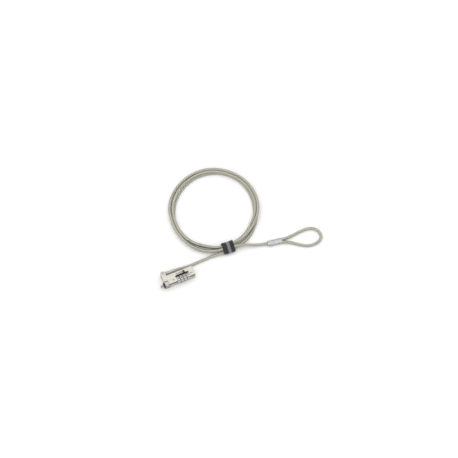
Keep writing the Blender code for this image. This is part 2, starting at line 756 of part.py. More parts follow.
def dial_loop(inset):
    """The dial's rim in (y, z): ten broad lands for the digits with a groove between each."""
    points = []
    per_digit = 4
    depths = (0.0, 0.0, 0.28, 0.28)
    count = DIAL_DIGITS * per_digit
    for step in range(count):
        # the first land is centred on -Y, where the dial stands out of the front
        angle = math.tau * (step - 0.5) / count + math.pi
        flat = DIAL_RADIUS / math.cos(math.pi / count)
        radius = flat - depths[step % per_digit] - inset
        points.append((AXIS_Y + radius * math.cos(angle), AXIS_Z + radius * math.sin(angle)))
    return points


def add_dial(mesh, middle):
    """A ring with grooved rim and eased edges, turned about the shared axis."""
    half = DIAL_WIDTH / 2
    edge = 0.3
    rim = dial_loop(0.0)
    eased = dial_loop(edge)
    bore = []
    for y, z in rim:
        away = Vector((y - AXIS_Y, z - AXIS_Z)).normalized() * DIAL_BORE
        bore.append((AXIS_Y + away.x, AXIS_Z + away.y))
    loops = ((bore, -half), (eased, -half), (rim, -half + edge), (rim, half - edge), (eased, half))
    rings = []
    for outline, along in (*loops, (bore, half)):
        rings.append([mesh.verts.new((middle + along, y, z)) for y, z in outline])
    add_rings(mesh, rings, closed=True)


def make_dials():
    for index, middle in enumerate(dial_centres(), 1):
        pivot = (middle, AXIS_Y, AXIS_Z)
        mesh = bmesh.new()
        add_dial(mesh, middle)
        make(f"dial_{index}", mesh, dial_plastic(), pivot)

        mesh = bmesh.new()
        profile = [
            (-SLEEVE_HALF_LENGTH, SLEEVE_BORE), (-SLEEVE_HALF_LENGTH, SLEEVE_RADIUS),
            (SLEEVE_HALF_LENGTH, SLEEVE_RADIUS), (SLEEVE_HALF_LENGTH, SLEEVE_BORE),
            (GATE_HALF_LENGTH, SLEEVE_BORE), (GATE_HALF_LENGTH, GATE_BORE),
            (-GATE_HALF_LENGTH, GATE_BORE), (-GATE_HALF_LENGTH, SLEEVE_BORE),
        ]
        profile = [(middle + along, radius) for along, radius in profile]
        add_turned(mesh, profile, "X", (AXIS_Y, AXIS_Z), 24)
        sleeve = make(f"dial_sleeve_{index}", mesh, spring_steel(), pivot)
        mesh = bmesh.new()
        add_box(
            mesh,
            (middle - GATE_HALF_LENGTH - 0.3, middle + GATE_HALF_LENGTH + 0.3),
            (AXIS_Y - GATE_HALF_WIDTH, AXIS_Y + GATE_HALF_WIDTH),
            (AXIS_Z + 1.0, AXIS_Z + SLEEVE_BORE + 0.15),
        )
        combine(sleeve, tool(f"cut_gate_{index}", mesh, pivot), "DIFFERENCE")


# ---------- the cable's end fitting ----------

def make_pivot_pin():
    """The upright rivet through the ear that the cable's fitting swivels on."""
    mesh = bmesh.new()
    low, seat = 0.3, BASE_TOP + GAP
    crown = BODY_HEIGHT + 0.25
    profile = (
        (low, 0.0), (low, PIVOT_PIN_RADIUS), (seat, PIVOT_PIN_RADIUS), (seat, PIVOT_HEAD_RADIUS),
        (crown - 0.3, PIVOT_HEAD_RADIUS), (crown, PIVOT_HEAD_RADIUS - 0.6), (crown, 0.0),
    )
    add_turned(mesh, profile, "Z", PIVOT, 20)
    make("pivot_pin", mesh, dark_steel())


def make_cable_terminal():
    """The eye and barrel pressed on the cable's end."""
    pivot = (*PIVOT, FITTING_Z)
    mesh = bmesh.new()
    collar = FITTING_RADIUS
    neck = FITTING_RADIUS - 0.5
    start = PIVOT[0] + PIVOT_PIN_RADIUS + 0.8
    end = PIVOT[0] + FITTING_LENGTH
    profile = (
        (start, 0.0), (start, neck), (PIVOT[0] + 5.2, neck), (PIVOT[0] + 5.8, collar),
        (PIVOT[0] + 7.6, collar), (PIVOT[0] + 8.0, neck + 0.15), (end - 3.0, neck + 0.15),
        (end - 2.6, collar), (end - 0.6, collar), (end, collar - 0.5), (end, 0.0),
    )
    add_turned(mesh, profile, "X", (PIVOT[1], FITTING_Z), 24)
    fitting = make("cable_terminal", mesh, aluminium(), pivot)
    mesh = bmesh.new()
    low, high = FITTING_Z - FITTING_RADIUS, FITTING_Z + FITTING_RADIUS
    profile = (
        (low, 0.0), (low, EYE_RADIUS - 0.5), (low + 0.5, EYE_RADIUS), (high - 0.5, EYE_RADIUS),
        (high, EYE_RADIUS - 0.5), (high, 0.0),
    )
    add_turned(mesh, profile, "Z", PIVOT, 24)
    eye = tool("add_eye", mesh, pivot)
    mesh = bmesh.new()
    add_rod(mesh, "Z", PIVOT, low - 1.0, high + 1.0, PIVOT_PIN_RADIUS + GAP, 20)
    hole = tool("cut_eye_hole", mesh, pivot)
    combine(fitting, eye, "UNION")
    combine(fitting, hole, "DIFFERENCE")
    for turned in (fitting, eye, hole):
        turned.rotation_euler.z = math.radians(FITTING_TILT)


# ---------- the cable ----------

def smooth_route(points, spacing):
    """Points about this far apart on a smooth curve (Catmull-Rom) through the given ones."""
    points = [Vector(point) for point in points]
    ends = [points[0] * 2 - points[1], *points, points[-1] * 2 - points[-2]]
    route = []
    for before, start, end, after in zip(ends, ends[1:], ends[2:], ends[3:]):
        steps = max(1, round((end - start).length / spacing))
        for step in range(steps):
            t = step / steps
            route.append(
                (
                    start * 2
                    + (end - before) * t
                    + (before * 2 - start * 5 + end * 4 - after) * t * t
                    + (start * 3 - before - end * 3 + after) * t * t * t
                )
                / 2
            )
    route.append(points[-1])
    return route


def make_cable_run(name, points):
    """An uncoiled stretch of the cable: a bevelled curve with closed ends."""
    data = bpy.data.curves.new(name, "CURVE")
    data.dimensions = "3D"
    data.bevel_depth = CABLE_RADIUS * MM
    data.bevel_resolution = 2
    data.use_fill_caps = True
    route = smooth_route(points, CABLE_RADIUS * 4.5)
    spline = data.splines.new("POLY")
    spline.points.add(len(route) - 1)
    for point, place in zip(spline.points, route):
        point.co = (*((place - ORIGIN) * MM), 1.0)
    made = bpy.data.objects.new(name, data)
    bpy.context.scene.collection.objects.link(made)
    data.materials.append(cable_coat())


def make_coil():
    """The coiled length's outer shape, a turned ring with a waist underneath for the strap."""
    section = rounded_rectangle((COIL_INNER, COIL_OUTER), (0.0, COIL_HEIGHT), COIL_CORNER, 3)
    profile = [(height, radius) for radius, height in section]
    mesh = bmesh.new()
    add_turned(mesh, profile, "Z", COIL_CENTRE, 96)
    coil = make("cable_coil", mesh, cable_coat())
    mesh = bmesh.new()
    half = STRAP_WIDTH / 2 + 0.6
    add_box(mesh, (COIL_INNER - 5.0, COIL_OUTER + 5.0), (-half, half), (-1.0, STRAP_THICKNESS + GAP))
    waist = tool("cut_waist", mesh)
    place_at_strap(waist)
    combine(coil, waist, "DIFFERENCE")


def place_at_strap(target):
    """Turns a shape built along +X from the coil's middle to where the strap is."""
    target.location = (Vector((*COIL_CENTRE, 0.0)) - ORIGIN) * MM
    target.rotation_euler.z = math.radians(STRAP_ANGLE)


def make_strap():
    """The hook-and-loop strap, a closed band round the coil."""
    half = STRAP_WIDTH / 2
    bow = COIL_INNER - math.sqrt(COIL_INNER**2 - half**2)  # how far the coil curves inside it
    inner_u = (COIL_INNER - GAP - bow, COIL_OUTER + GAP + STRAP_SLACK)
    inner_v = (STRAP_THICKNESS, COIL_HEIGHT + GAP)
    outer_u = (inner_u[0] - STRAP_THICKNESS, inner_u[1] + STRAP_THICKNESS)
    outer_v = (0.0, inner_v[1] + STRAP_THICKNESS)
    outer = rounded_rectangle(outer_u, outer_v, STRAP_CORNER, 5)
    inner = rounded_rectangle(inner_u, inner_v, STRAP_CORNER - STRAP_THICKNESS, 5)
    rings = []
    mesh = bmesh.new()
    for outline, along in ((outer, -half), (outer, half), (inner, half), (inner, -half)):
        rings.append([mesh.verts.new((u, along, v)) for u, v in outline])
    add_rings(mesh, rings, closed=True)
    strap = make("cable_strap", mesh, strap_fabric())
    place_at_strap(strap)


def make_ferrule():
    """The pressed oval sleeve that closes the end loop, with a ring groove at each end."""
    length, width, height = FERRULE_SIZE
    stations = (
        (-0.5, 0.88), (-0.47, 0.98), (-0.40, 0.98), (-0.38, 0.93), (-0.35, 0.93), (-0.33, 1.0),
        (0.33, 1.0), (0.35, 0.93), (0.38, 0.93), (0.40, 0.98), (0.47, 0.98), (0.5, 0.88),
    )
    mesh = bmesh.new()
    rings = []
    for share, scale in stations:
        half_width, half_height = width / 2 * scale, height / 2 * scale
        outline = rounded_rectangle(
            (-half_width, half_width), (-half_height, half_height), half_height * 0.95, 4
        )
        rings.append([mesh.verts.new((share * length, u, v)) for u, v in outline])
    add_rings(mesh, rings, closed=False)
    mesh.faces.new(rings[0])
    mesh.faces.new(rings[-1])
    ferrule = make("loop_ferrule", mesh, aluminium())
    ferrule.location = (Vector(FERRULE_CENTRE) - ORIGIN) * MM
    ferrule.rotation_euler.z = math.radians(FERRULE_TILT)


def clear_scene():
    for old in list(bpy.data.objects):
        bpy.data.objects.remove(old)


def main():
    clear_scene()
    make_base()
    make_cover()
    make_cover_screws()
    make_index_dots()
    make_nose()
    make_t_bar()
    make_pin_carrier()
    make_spindle()
    make_slide_bar()
    make_thumb_slider()
    make_slot_liner()
    make_return_spring()
    make_detent_spring()
    make_reset_screw()
    make_dials()
    make_pivot_pin()
    make_cable_terminal()
    make_cable_run("cable_lead_to_lock", LEAD_TO_LOCK)
    make_cable_run("cable_lead_to_loop", LEAD_TO_LOOP)
    make_cable_run("cable_end_loop", END_LOOP)
    make_coil()
    make_strap()
    make_ferrule()


main()
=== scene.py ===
"""Looks of a laptop cable lock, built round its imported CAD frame.

Lengths named here are millimetres from the front left bottom corner of the head's housing, as in
the CAD: X along the head away from the T-bar, Y towards the cable side, Z up. at() and make() turn
them into the frame's metres.
"""

import math

import bmesh
import bpy
from mathutils import Matrix, Vector
from mathutils.geometry import convex_hull_2d


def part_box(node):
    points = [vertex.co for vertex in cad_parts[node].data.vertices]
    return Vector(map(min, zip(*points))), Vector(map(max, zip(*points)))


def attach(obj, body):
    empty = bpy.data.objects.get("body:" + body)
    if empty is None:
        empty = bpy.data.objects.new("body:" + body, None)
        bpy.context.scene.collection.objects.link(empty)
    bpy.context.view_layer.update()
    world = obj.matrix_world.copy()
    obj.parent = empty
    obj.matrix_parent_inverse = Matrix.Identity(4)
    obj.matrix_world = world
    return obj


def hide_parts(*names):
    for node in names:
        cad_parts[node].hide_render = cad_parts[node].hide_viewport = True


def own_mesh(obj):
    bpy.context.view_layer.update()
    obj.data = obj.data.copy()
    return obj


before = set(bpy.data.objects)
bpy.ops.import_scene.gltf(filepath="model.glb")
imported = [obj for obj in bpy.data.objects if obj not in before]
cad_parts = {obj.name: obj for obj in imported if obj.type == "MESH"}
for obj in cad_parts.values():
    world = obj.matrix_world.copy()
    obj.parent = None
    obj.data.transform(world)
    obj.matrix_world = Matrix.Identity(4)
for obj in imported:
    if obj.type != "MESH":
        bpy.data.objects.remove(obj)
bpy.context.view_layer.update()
CORNER = Vector(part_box("housing_base")[0])
MM = 0.001

# The camera
CAMERA_AZIMUTH = -23.55
CAMERA_ELEVATION = 68.0
CAMERA_LENS = 300.0
CAMERA_DISTANCE = 6.107
LOOK_AT = (132.7, 54.6, 0.0)
SKY = (0.32, 1.0)  # the sky's grey at the horizon and overhead
SKY_STRENGTH = 1.48

# The head
BODY_LENGTH = 51.0
BODY_DEPTH = 16.4
BODY_HEIGHT = 12.0
COVER_BOTTOM = 11.2
BASE_TOP = 10.9
EAR_WIDTH = 7.2
EAR_BACK = 26.0
EAR_SLOT = (2.6, 9.4)
EAR_SLOT_FRONT = 17.6
AXIS = (4.1, 6.9)  # Y and Z of the line that the T-bar, spindle and dials share
PIVOT = (3.6, 22.7)
PIVOT_HEAD_RADIUS = 1.9
PIVOT_HOLE_RADIUS = 1.5
GAP = 0.3
COVER_SCREWS = ((14.0, 13.9), (46.5, 13.9))
SCREW_HOLE = (1.6, 1.8)  # depth and radius
COVER_SETBACK = 1.0  # of the top plate's front edge, which opens the seam to view
CHAMBER = ((5.8, 19.4), (1.0, 10.0), 1.1)  # X, Y and floor of the pin carrier's room
CHANNEL = ((5.8, 45.7), (9.8, 11.6), 5.8)  # the same of the slide bar's way
SEAT = (18.9, 44.5, 2.5)  # the bore along the dials: X, X and radius
SPINDLE_WAY = (44.0, 47.6, 1.6)
RESET_HOLE = (47.9, 2.6)
RESET_X = (48.2, 50.8)
RESET_RADIUS = 2.3
RESET_SLOT = ((50.0, 52.0), (AXIS[0] - 0.45, AXIS[0] + 0.45), (2.9, 10.9))
SPRING_X = (8.85, 18.85)
SPRING_TURNS = 7
SPRING_RADIUS = 1.85
SPRING_WIRE = 0.25

# The nose
NOSE_LENGTH = 5.7
NOSE_Y = (0.3, 7.6)
NOSE_Z = (1.5, 11.9)
NOSE_GAP = 0.75  # between the nose block and the top plate behind it
PIN_OFFSET = 2.2
PIN_HOLE_RADIUS = 0.95
BAR_WAY = (1.4, 1.5)  # the T-bar's hole through the nose: half of its Y and Z
WASHER_X = (-2.2, -0.3)
WASHER_RADII = (3.2, 4.6)
BAR_TIP = -7.4
BAR_HEAD = 2.0
BAR_FOOT = (3.6, 5.1)
BAR_HALF_WIDTHS = (3.1, 1.2, 2.6)  # of the head, the neck and the foot
BAR_HALF_THICKNESS = 1.25

# The cable's end fitting
FITTING_Z = 6.0
FITTING_TILT = -3.0
EYE_RADIUS = 3.0
COLLAR = 2.9
BARREL = 2.5
PRESSED = 2.28  # where the barrel is pressed on to the cable
BARREL_PROFILE = (  # X from the pivot, and radius
    (2.0, 0.0), (2.0, 2.4), (5.2, 2.4), (5.8, COLLAR), (7.6, COLLAR), (8.0, BARREL),
    (10.4, BARREL), (10.7, PRESSED), (11.9, PRESSED), (12.2, BARREL),
    (14.2, BARREL), (14.5, PRESSED), (15.7, PRESSED), (16.0, BARREL), (18.2, BARREL),
    (18.6, COLLAR), (20.6, COLLAR), (21.2, 2.4), (21.2, 2.25), (20.4, 2.15), (20.4, 0.0),
)

# The dials
DIAL_PITCH = 5.55
FIRST_DIAL_X = 23.1
DIAL_COUNT = 4
DIAL_RADIUS = 5.5
DIAL_BORE = 3.25
DIAL_WIDTH = 4.3
DIAL_DIGITS = 10
DIAL_CENTRES = [FIRST_DIAL_X + DIAL_PITCH * index for index in range(DIAL_COUNT)]
BAY_HALF_WIDTH = 2.45
DIAL_ROW = (DIAL_CENTRES[0] - BAY_HALF_WIDTH, DIAL_CENTRES[-1] + BAY_HALF_WIDTH)
BAY_BACK = 9.9
WINDOW_BACK = 7.8
WINDOW_BOTTOM = 1.9
GROOVE_DEPTH = 0.30
# the black discs between the dials, painted shade in the gaps
GAP_SHADE_DISC_HALF_WIDTH = 0.42
GAP_SHADE_DISC_RADII = (2.6, 4.7)

DIGIT_SCALE = (0.0175, 0.0125)  # of the strokes below, across and up
LINE_WIDTH = 0.32
SIX = ((35, 72), (0, 80), (-35, 45), (-48, -10), (-40, -60), (0, -80),
       (40, -60), (46, -30), (30, 2), (0, 10), (-35, -5), (-47, -30))
DIGIT_STROKES = (
    (((0, 80), (-36, 60), (-46, 0), (-36, -60), (0, -80), (36, -60),
      (46, 0), (36, 60), (0, 80)),),
    (((-25, 50), (5, 80)), ((5, 80), (5, -80))),
    (((-45, 45), (-30, 74), (0, 80), (35, 70), (45, 40), (30, 5),
      (-10, -40), (-50, -80)), ((-50, -80), (50, -80))),
    (((-45, 55), (-20, 78), (15, 78), (42, 50), (35, 15), (-5, 2)),
     ((-5, 2), (38, -12), (48, -45), (20, -78), (-20, -78), (-48, -50))),
    (((20, -80), (20, 80)), ((20, 80), (-50, -30)), ((-50, -30), (50, -30))),
    (((42, 80), (-35, 80)), ((-35, 80), (-42, 10)),
     ((-42, 10), (0, 22), (40, 0), (48, -35), (20, -75), (-20, -80),
      (-48, -55))),
    (SIX,),
    (((-48, 80), (48, 80)), ((48, 80), (10, 10), (-10, -80))),
    (((0, 5), (-36, 22), (-36, 62), (0, 80), (36, 62), (36, 22),
      (0, 5)),
     ((0, 5), (-44, -18), (-44, -62), (0, -80), (44, -62), (44, -18),
      (0, 5))),
    (tuple((-u, -v) for u, v in SIX),),
)

# The slot and thumb slider
SLOT_X = (19.9, 42.5)
SLOT_Y = (8.2, 10.8)
PAD_X = (22.6, 37.0)
PAD_Y = (11.2, 14.2)
PAD_Z = (12.3, 12.9)
STEM_X = (33.8, 36.5)
STEM_Y = (9.1, 9.8)
STEM_WAY = ((33.3, 39.7), (8.8, 10.3), 9.6)  # X, Y and floor of the stem's way
SHUTTER = ((30.4, 39.4), (8.55, 10.6))
RIDGES = 4
INDEX_DOTS = ((15.4, 5.7), (45.5, 5.7))
MARK_RADIUS = 0.9

# The cable's route: listed points of the CAD, and the coil's turns by rule
CABLE_RADIUS = 2.2
ROPE_STRANDS = 6
ROPE_LAY = 28.0  # along the rope for one turn of a strand
COIL_CENTRE = (123.0, 92.8)
COIL_RADIUS = 67.4
STRAP_ANGLE = -94.4
TURNS = 4
STRAND_SPACING = 4.3
TAIL_RISE = 0.8  # of the lead from the head, above its place in the strap
# How far the strands move (outwards, up) where the bundle is flattened, nestled or parted: outer
# bottom, inner bottom, inner top, outer top
FLATTENED = ((-2.2, 0.0), (-2.1, 0.0), (0.1, -0.6), (2.2, -4.4))
NESTLED = ((-1.15, 0.0), (-1.05, 0.0), (1.15, -0.62), (1.1, -0.62))
PARTED = ((1.3, 0.0), (-1.4, 0.0), (-0.9, -0.1), (3.0, -0.9))
LEAD_TO_LOCK = (
    (25.1, 21.6, 6.0), (29.5, 21.35, 5.9), (35.0, 21.0, 5.2), (42.0, 20.8, 3.8), (49.0, 20.8, 2.7),
    (56.0, 20.9, 2.3), (64.0, 21.0, 2.3), (72.0, 21.2, 2.3), (80.0, 21.3, 2.3), (88.0, 21.2, 2.6),
    (94.5, 20.7, 3.1), (99.0, 20.1, 3.7), (102.5, 19.7, 3.9), (107.0, 19.25, 4.1),
)
LEAD_TO_LOOP = (
    (139.0, 18.2, 7.2), (142.5, 17.2, 6.8), (147.0, 15.7, 6.1), (153.0, 13.6, 5.1),
    (159.0, 11.5, 4.2), (165.0, 9.5, 3.5), (171.0, 7.8, 3.1), (175.0, 6.9, 3.0), (178.2, 6.35, 3.0),
)
END_LOOP = (
    (202.6, 3.3, 3.0), (206.0, 2.9, 2.9), (213.0, 2.7, 2.5), (222.0, 3.2, 2.3), (231.0, 4.1, 2.3),
    (240.0, 4.5, 2.3), (248.0, 4.0, 2.3), (255.0, 1.5, 2.3), (260.0, -3.2, 2.3), (262.6, -9.5, 2.3),
    (262.6, -15.5, 2.3), (259.5, -20.5, 2.3), (253.5, -23.6, 2.3), (245.5, -24.5, 2.3),
    (237.0, -23.0, 2.3), (228.5, -18.6, 2.3), (221.0, -13.0, 2.3), (213.5, -7.2, 2.4),
    (206.5, -3.0, 2.8), (201.9, -1.4, 3.0),
)
FERRULE_CENTRE = (190.2, 3.45, 3.0)
FERRULE_TILT = -9.7
FERRULE_SIZE = (23.4, 9.4, 5.9)
FERRULE_BORE = 2.3  # from its middle to the middle of either bore
FERRULE_CRIMPS = (-6.9, 0.0, 6.9)
STRAP_WIDTH = 19.0
STRAP_THICKNESS = 1.3


def at(x, y, z=0.0):
    """A point of the head's own millimetres in the frame's metres."""
    return CORNER + Vector((x, y, z)) * MM


def show(name, data):
    """A new object in the scene."""
    made = bpy.data.objects.new(name, data)
    bpy.context.scene.collection.objects.link(made)
    return made


# ---- materials ----

class Nodes:
    """Short calls for building one material's nodes."""

    def __init__(self, name):
        self.material = bpy.data.materials.new(name)
        self.material.use_nodes = True
        self.tree = self.material.node_tree
        self.shader = self.tree.nodes["Principled BSDF"]

    def put(self, target, value):
        """Gives a socket a number or colour, or links another socket to it."""
        if hasattr(value, "is_linked"):
            self.tree.links.new(value, target)
        else:
            target.default_value = value

    def add(self, kind, inputs=None, **settings):
        node = self.tree.nodes.new(kind)
        for key, value in settings.items():
            setattr(node, key, value)
        for key, value in (inputs or {}).items():
            self.put(node.inputs[key], value)
        return node

    def place(self, kind="Object"):
        """Texture coordinates. Object coordinates are the frame's metres."""
        return self.add("ShaderNodeTexCoord").outputs[kind]

    def across_and_along(self):
        split = self.add("ShaderNodeSeparateXYZ", {"Vector": self.place("UV")})
        return split.outputs["X"], split.outputs["Y"]

    def stretched(self, scale):
        inputs = {"Vector": self.place(), "Scale": scale}
        return self.add("ShaderNodeMapping", inputs).outputs["Vector"]

    def math(self, operation, first, second=0.0):
        return self.add("ShaderNodeMath", {0: first, 1: second}, operation=operation).outputs[0]

    def folded(self, value):
        """0.5 where the value is whole, falling evenly to 0 halfway between."""
        return self.math("ABSOLUTE", self.math("SUBTRACT", self.math("FRACT", value), 0.5))

    def noise(self, scale, detail=4.0, roughness=0.5, vector=None):
        inputs = {"Scale": scale, "Detail": detail, "Roughness": roughness}
        inputs["Vector"] = vector or self.place()
        return self.add("ShaderNodeTexNoise", inputs).outputs["Fac"]

    def ramp(self, factor, *stops):
        node = self.add("ShaderNodeValToRGB", {"Fac": factor})
        while len(node.color_ramp.elements) < len(stops):
            node.color_ramp.elements.new(0.5)
        for element, (place, colour) in zip(node.color_ramp.elements, stops):
            element.position = place
            element.color = (*colour, 1.0)
        return node.outputs["Color"]

    def grey(self, factor, low, high, start=0.0, end=1.0):
        """The factor, with start to end turned into low to high."""
        inputs = {
            "Value": factor, "From Min": start, "From Max": end, "To Min": low, "To Max": high,
        }
        return self.add("ShaderNodeMapRange", inputs).outputs["Result"]

    def bump(self, height, strength, distance):
        inputs = {"Height": height, "Strength": strength, "Distance": distance}
        self.put(self.shader.inputs["Normal"], self.add("ShaderNodeBump", inputs).outputs["Normal"])

    def set(self, **values):
        for key, value in values.items():
            self.put(self.shader.inputs[key.replace("_", " ")], value)


def metal(name, colour, roughness, brushed=None, metallic=1.0):
    """A satin metal: cloudy roughness, faint colour drift and a fine grain."""
    made = Nodes(name)
    dark = tuple(c * 0.90 for c in colour)
    drift = made.noise(260.0, 3.0)
    made.set(Base_Color=made.ramp(drift, (0.35, dark), (0.65, colour)), Metallic=metallic)
    fine = made.noise(9000.0, 2.0, vector=made.stretched(brushed) if brushed else None)
    cloud = made.noise(700.0, 5.0)
    mixed = made.math("MULTIPLY", made.math("ADD", fine, cloud), 0.5)
    made.set(Roughness=made.grey(mixed, roughness - 0.09, roughness + 0.09, 0.3, 0.7))
    made.bump(fine, 0.35, 0.000012)
    return made.material


def moulded(name, colour, roughness, grain=5200.0, depth=0.00002, shine=0.5):
    """A moulded plastic or rubber with a fine spark-eroded grain."""
    made = Nodes(name)
    drift = made.noise(350.0, 4.0)
    light = tuple(min(1.0, c * 1.35 + 0.004) for c in colour)
    made.set(Base_Color=made.ramp(drift, (0.35, colour), (0.7, light)), Specular_IOR_Level=shine)
    fine = made.noise(grain, 3.0)
    made.set(Roughness=made.grey(fine, roughness - 0.08, roughness + 0.08, 0.3, 0.7))
    made.bump(fine, 0.5, depth)
    return made.material


def cable_material():
    """Twisted steel rope under a clear glossy coat. UV: u round the rope, v along it in mm."""
    made = Nodes("cable_coat")
    around, along = made.across_and_along()
    strand = made.math("ADD", made.math("MULTIPLY", around, ROPE_STRANDS),
                       made.math("MULTIPLY", along, ROPE_STRANDS / ROPE_LAY))
    wire = made.math("SUBTRACT", made.math("MULTIPLY", around, 26.0),
                     made.math("MULTIPLY", along, 1.15))
    lit_strand = made.grey(made.folded(strand), -0.28, 1.0, 0.40, 0.18)
    lit_wire = made.grey(made.folded(wire), -0.24, 0.06, 0.5, 0.22)
    grain = made.grey(made.noise(1500.0, 3.0), -0.10, 0.10, 0.3, 0.7)
    tone = made.math("ADD", made.math("ADD", lit_strand, lit_wire), grain)
    # painted highlight and shade: the colour is brightest on the strands' crests and darkest in the
    # valleys between strands and wires, over the rope's own strand pattern
    colour = made.ramp(
        tone, (0.0, (0.018, 0.016, 0.010)), (0.40, (0.150, 0.137, 0.100)),
        (0.75, (0.450, 0.424, 0.340)), (1.0, (0.840, 0.806, 0.690)),
    )
    made.set(Base_Color=colour, Metallic=0.35, Specular_IOR_Level=0.5)
    made.set(Roughness=made.grey(tone, 0.62, 0.34))
    made.set(Coat_Weight=0.75, Coat_Roughness=0.14, Coat_IOR=1.48)
    made.bump(tone, 0.30, 0.00008)
    return made.material


def strap_material():
    """Black woven tape with a paler broken stripe. UV: u across 0 to 1, v along in mm."""
    made = Nodes("strap_fabric")
    across, along = made.across_and_along()
    warp = made.math("SINE", made.math("MULTIPLY", across, math.tau * STRAP_WIDTH / 0.55))
    weft = made.math("SINE", made.math("MULTIPLY", along, math.tau / 0.50))
    weave = made.grey(made.math("MULTIPLY", warp, weft), 0.0, 1.0, -1.0, 1.0)
    fuzz = made.noise(3800.0, 6.0, 0.7)
    height = made.math("ADD", weave, made.math("MULTIPLY", fuzz, 1.1))

    from_middle = made.math("ABSOLUTE", made.math("SUBTRACT", across, 0.52))
    line = made.grey(from_middle, 1.0, 0.0, 0.115, 0.13)
    dashes = made.grey(made.folded(made.math("MULTIPLY", along, 0.62)), 1.0, 0.0, 0.26, 0.32)
    black = made.ramp(height, (0.2, (0.002, 0.002, 0.0025)), (1.0, (0.026, 0.026, 0.029)))
    pale = made.ramp(height, (0.2, (0.10, 0.10, 0.105)), (1.0, (0.36, 0.36, 0.37)))
    mix = made.add("ShaderNodeMix", data_type="RGBA")
    for key, value in (("Factor", made.math("MULTIPLY", line, dashes)), ("A", black), ("B", pale)):
        made.put(mix.inputs[key], value)
    made.set(Base_Color=mix.outputs["Result"], Roughness=0.92)
    made.set(Sheen_Weight=0.35, Sheen_Roughness=0.45)
    made.bump(height, 0.9, 0.00016)
    return made.material


def all_materials():
    return {
        "nickel": metal("satin_nickel", (0.560, 0.546, 0.490), 0.38),
        # painted shade: the lower shell gets a darker copy of the satin nickel, so that its sides
        # read shaded
        "shell": metal("shaded_nickel", (0.500, 0.487, 0.440), 0.42),
        "nose": metal("nose_steel", (0.470, 0.460, 0.425), 0.38),
        "dark_steel": metal("dark_steel", (0.340, 0.335, 0.328), 0.34),
        "spring": metal("spring_steel", (0.520, 0.520, 0.520), 0.26, brushed=(1, 6, 6)),
        "aluminium": metal("aluminium", (0.470, 0.473, 0.480), 0.24, brushed=(1, 8, 8)),
        "dial": metal("dial_metal", (0.790, 0.774, 0.725), 0.36, metallic=0.30),
        "ink": moulded("digit_ink", (0.006, 0.006, 0.006), 0.55),
        "plastic": moulded("black_plastic", (0.008, 0.008, 0.008), 0.48),
        "slot": moulded("slot_black", (0.002, 0.002, 0.002), 0.85, shine=0.08),
        "rubber": moulded("black_rubber", (0.010, 0.010, 0.010), 0.74, 2600.0, 0.00004),
        "cable": cable_material(),
        "strap": strap_material(),
    }


# ---- outlines and mesh tools ----

BASIS = {
    "X": Matrix(((0, 0, 1), (1, 0, 0), (0, 1, 0))),
    "Y": Matrix(((1, 0, 0), (0, 0, 1), (0, 1, 0))),
    "Z": Matrix.Identity(3),
}


def circle(centre, radius, steps):
    found = []
    for step in range(steps):
        angle = math.tau * step / steps
        found.append((centre[0] + radius * math.cos(angle), centre[1] + radius * math.sin(angle)))
    return found


def rounded(corners, steps=10):
    """A closed outline from (u, v, fillet radius) corners."""
    outline = []
    count = len(corners)
    for index, (u, v, radius) in enumerate(corners):
        corner = Vector((u, v))
        if not radius:
            outline.append((u, v))
            continue
        before = (Vector(corners[index - 1][:2]) - corner).normalized()
        after = (Vector(corners[(index + 1) % count][:2]) - corner).normalized()
        half = before.angle(after) / 2
        middle = corner + (before + after).normalized() * radius / math.sin(half)
        first = corner + before * radius / math.tan(half) - middle
        last = corner + after * radius / math.tan(half) - middle
        turn = first.angle_signed(last)
        for step in range(steps + 1):
            outline.append(tuple(middle + Matrix.Rotation(-turn * step / steps, 2) @ first))
    return outline


def rounded_rectangle(u, v, radius, steps=8):
    return rounded(
        ((u[0], v[0], radius), (u[1], v[0], radius), (u[1], v[1], radius), (u[0], v[1], radius)),
        steps,
    )


def house_outline(inset=0.0, front=0.0):
    """The head seen from above, drawn in by inset, its front edge set back by front."""
    ear = EAR_WIDTH - inset
    low, right, back = inset, BODY_LENGTH - inset, BODY_DEPTH - inset
    return rounded((
        (low, low + front, 1.2 - inset), (right, low + front, 1.2 - inset),
        (right, back, 1.2 - inset), (ear, back, 1.0 + inset),
        (ear, EAR_BACK - inset, 2.6 - inset), (low, EAR_BACK - inset, 2.6 - inset),
    ))


def add_prism(mesh, outline, axis, low, high):
    """Extrudes an outline. On X it holds (y, z), on Y (x, z), on Z (x, y)."""
    ends = []
    for along in (low, high):
        ends.append([mesh.verts.new(BASIS[axis] @ Vector((u, v, along))) for u, v in outline])
    first, second = ends
    mesh.faces.new(first)
    mesh.faces.new(second)
    for index in range(len(outline)):
        after = (index + 1) % len(outline)
        mesh.faces.new((first[index], first[after], second[after], second[index]))


def add_box(mesh, x, y, z):
    outline = ((x[0], y[0]), (x[1], y[0]), (x[1], y[1]), (x[0], y[1]))
    add_prism(mesh, outline, "Z", z[0], z[1])


def add_rings(mesh, loops, closed=False, capped=False):
    """Joins loops of points in order. A loop of one point is a pole."""
    rings = [[mesh.verts.new(point) for point in loop] for loop in loops]
    pairs = list(zip(rings, rings[1:]))
    if closed:
        pairs.append((rings[-1], rings[0]))
    faces = []
    for ring, following in pairs:
        steps = max(len(ring), len(following))
        for index in range(steps):
            after = (index + 1) % steps
            if len(ring) == 1:
                corners = (ring[0], following[after], following[index])
            elif len(following) == 1:
                corners = (ring[index], ring[after], following[0])
            else:
                corners = (ring[index], ring[after], following[after], following[index])
            faces.append(mesh.faces.new(corners))
    if capped:
        mesh.faces.new(rings[0])
        mesh.faces.new(rings[-1])
    return faces


def add_turned(mesh, profile, axis, centre, steps):
    """Turns (along, radius) points about an axis: a solid if it ends on the axis, else a ring."""
    rings = []
    for along, radius in profile:
        ring = circle(centre, radius, steps) if radius else [centre]
        rings.append([BASIS[axis] @ Vector((u, v, along)) for u, v in ring])
    add_rings(mesh, rings, closed=profile[0][1] > 0.0)


def rod_profile(low, high, radius):
    return (low, 0.0), (low, radius), (high, radius), (high, 0.0)


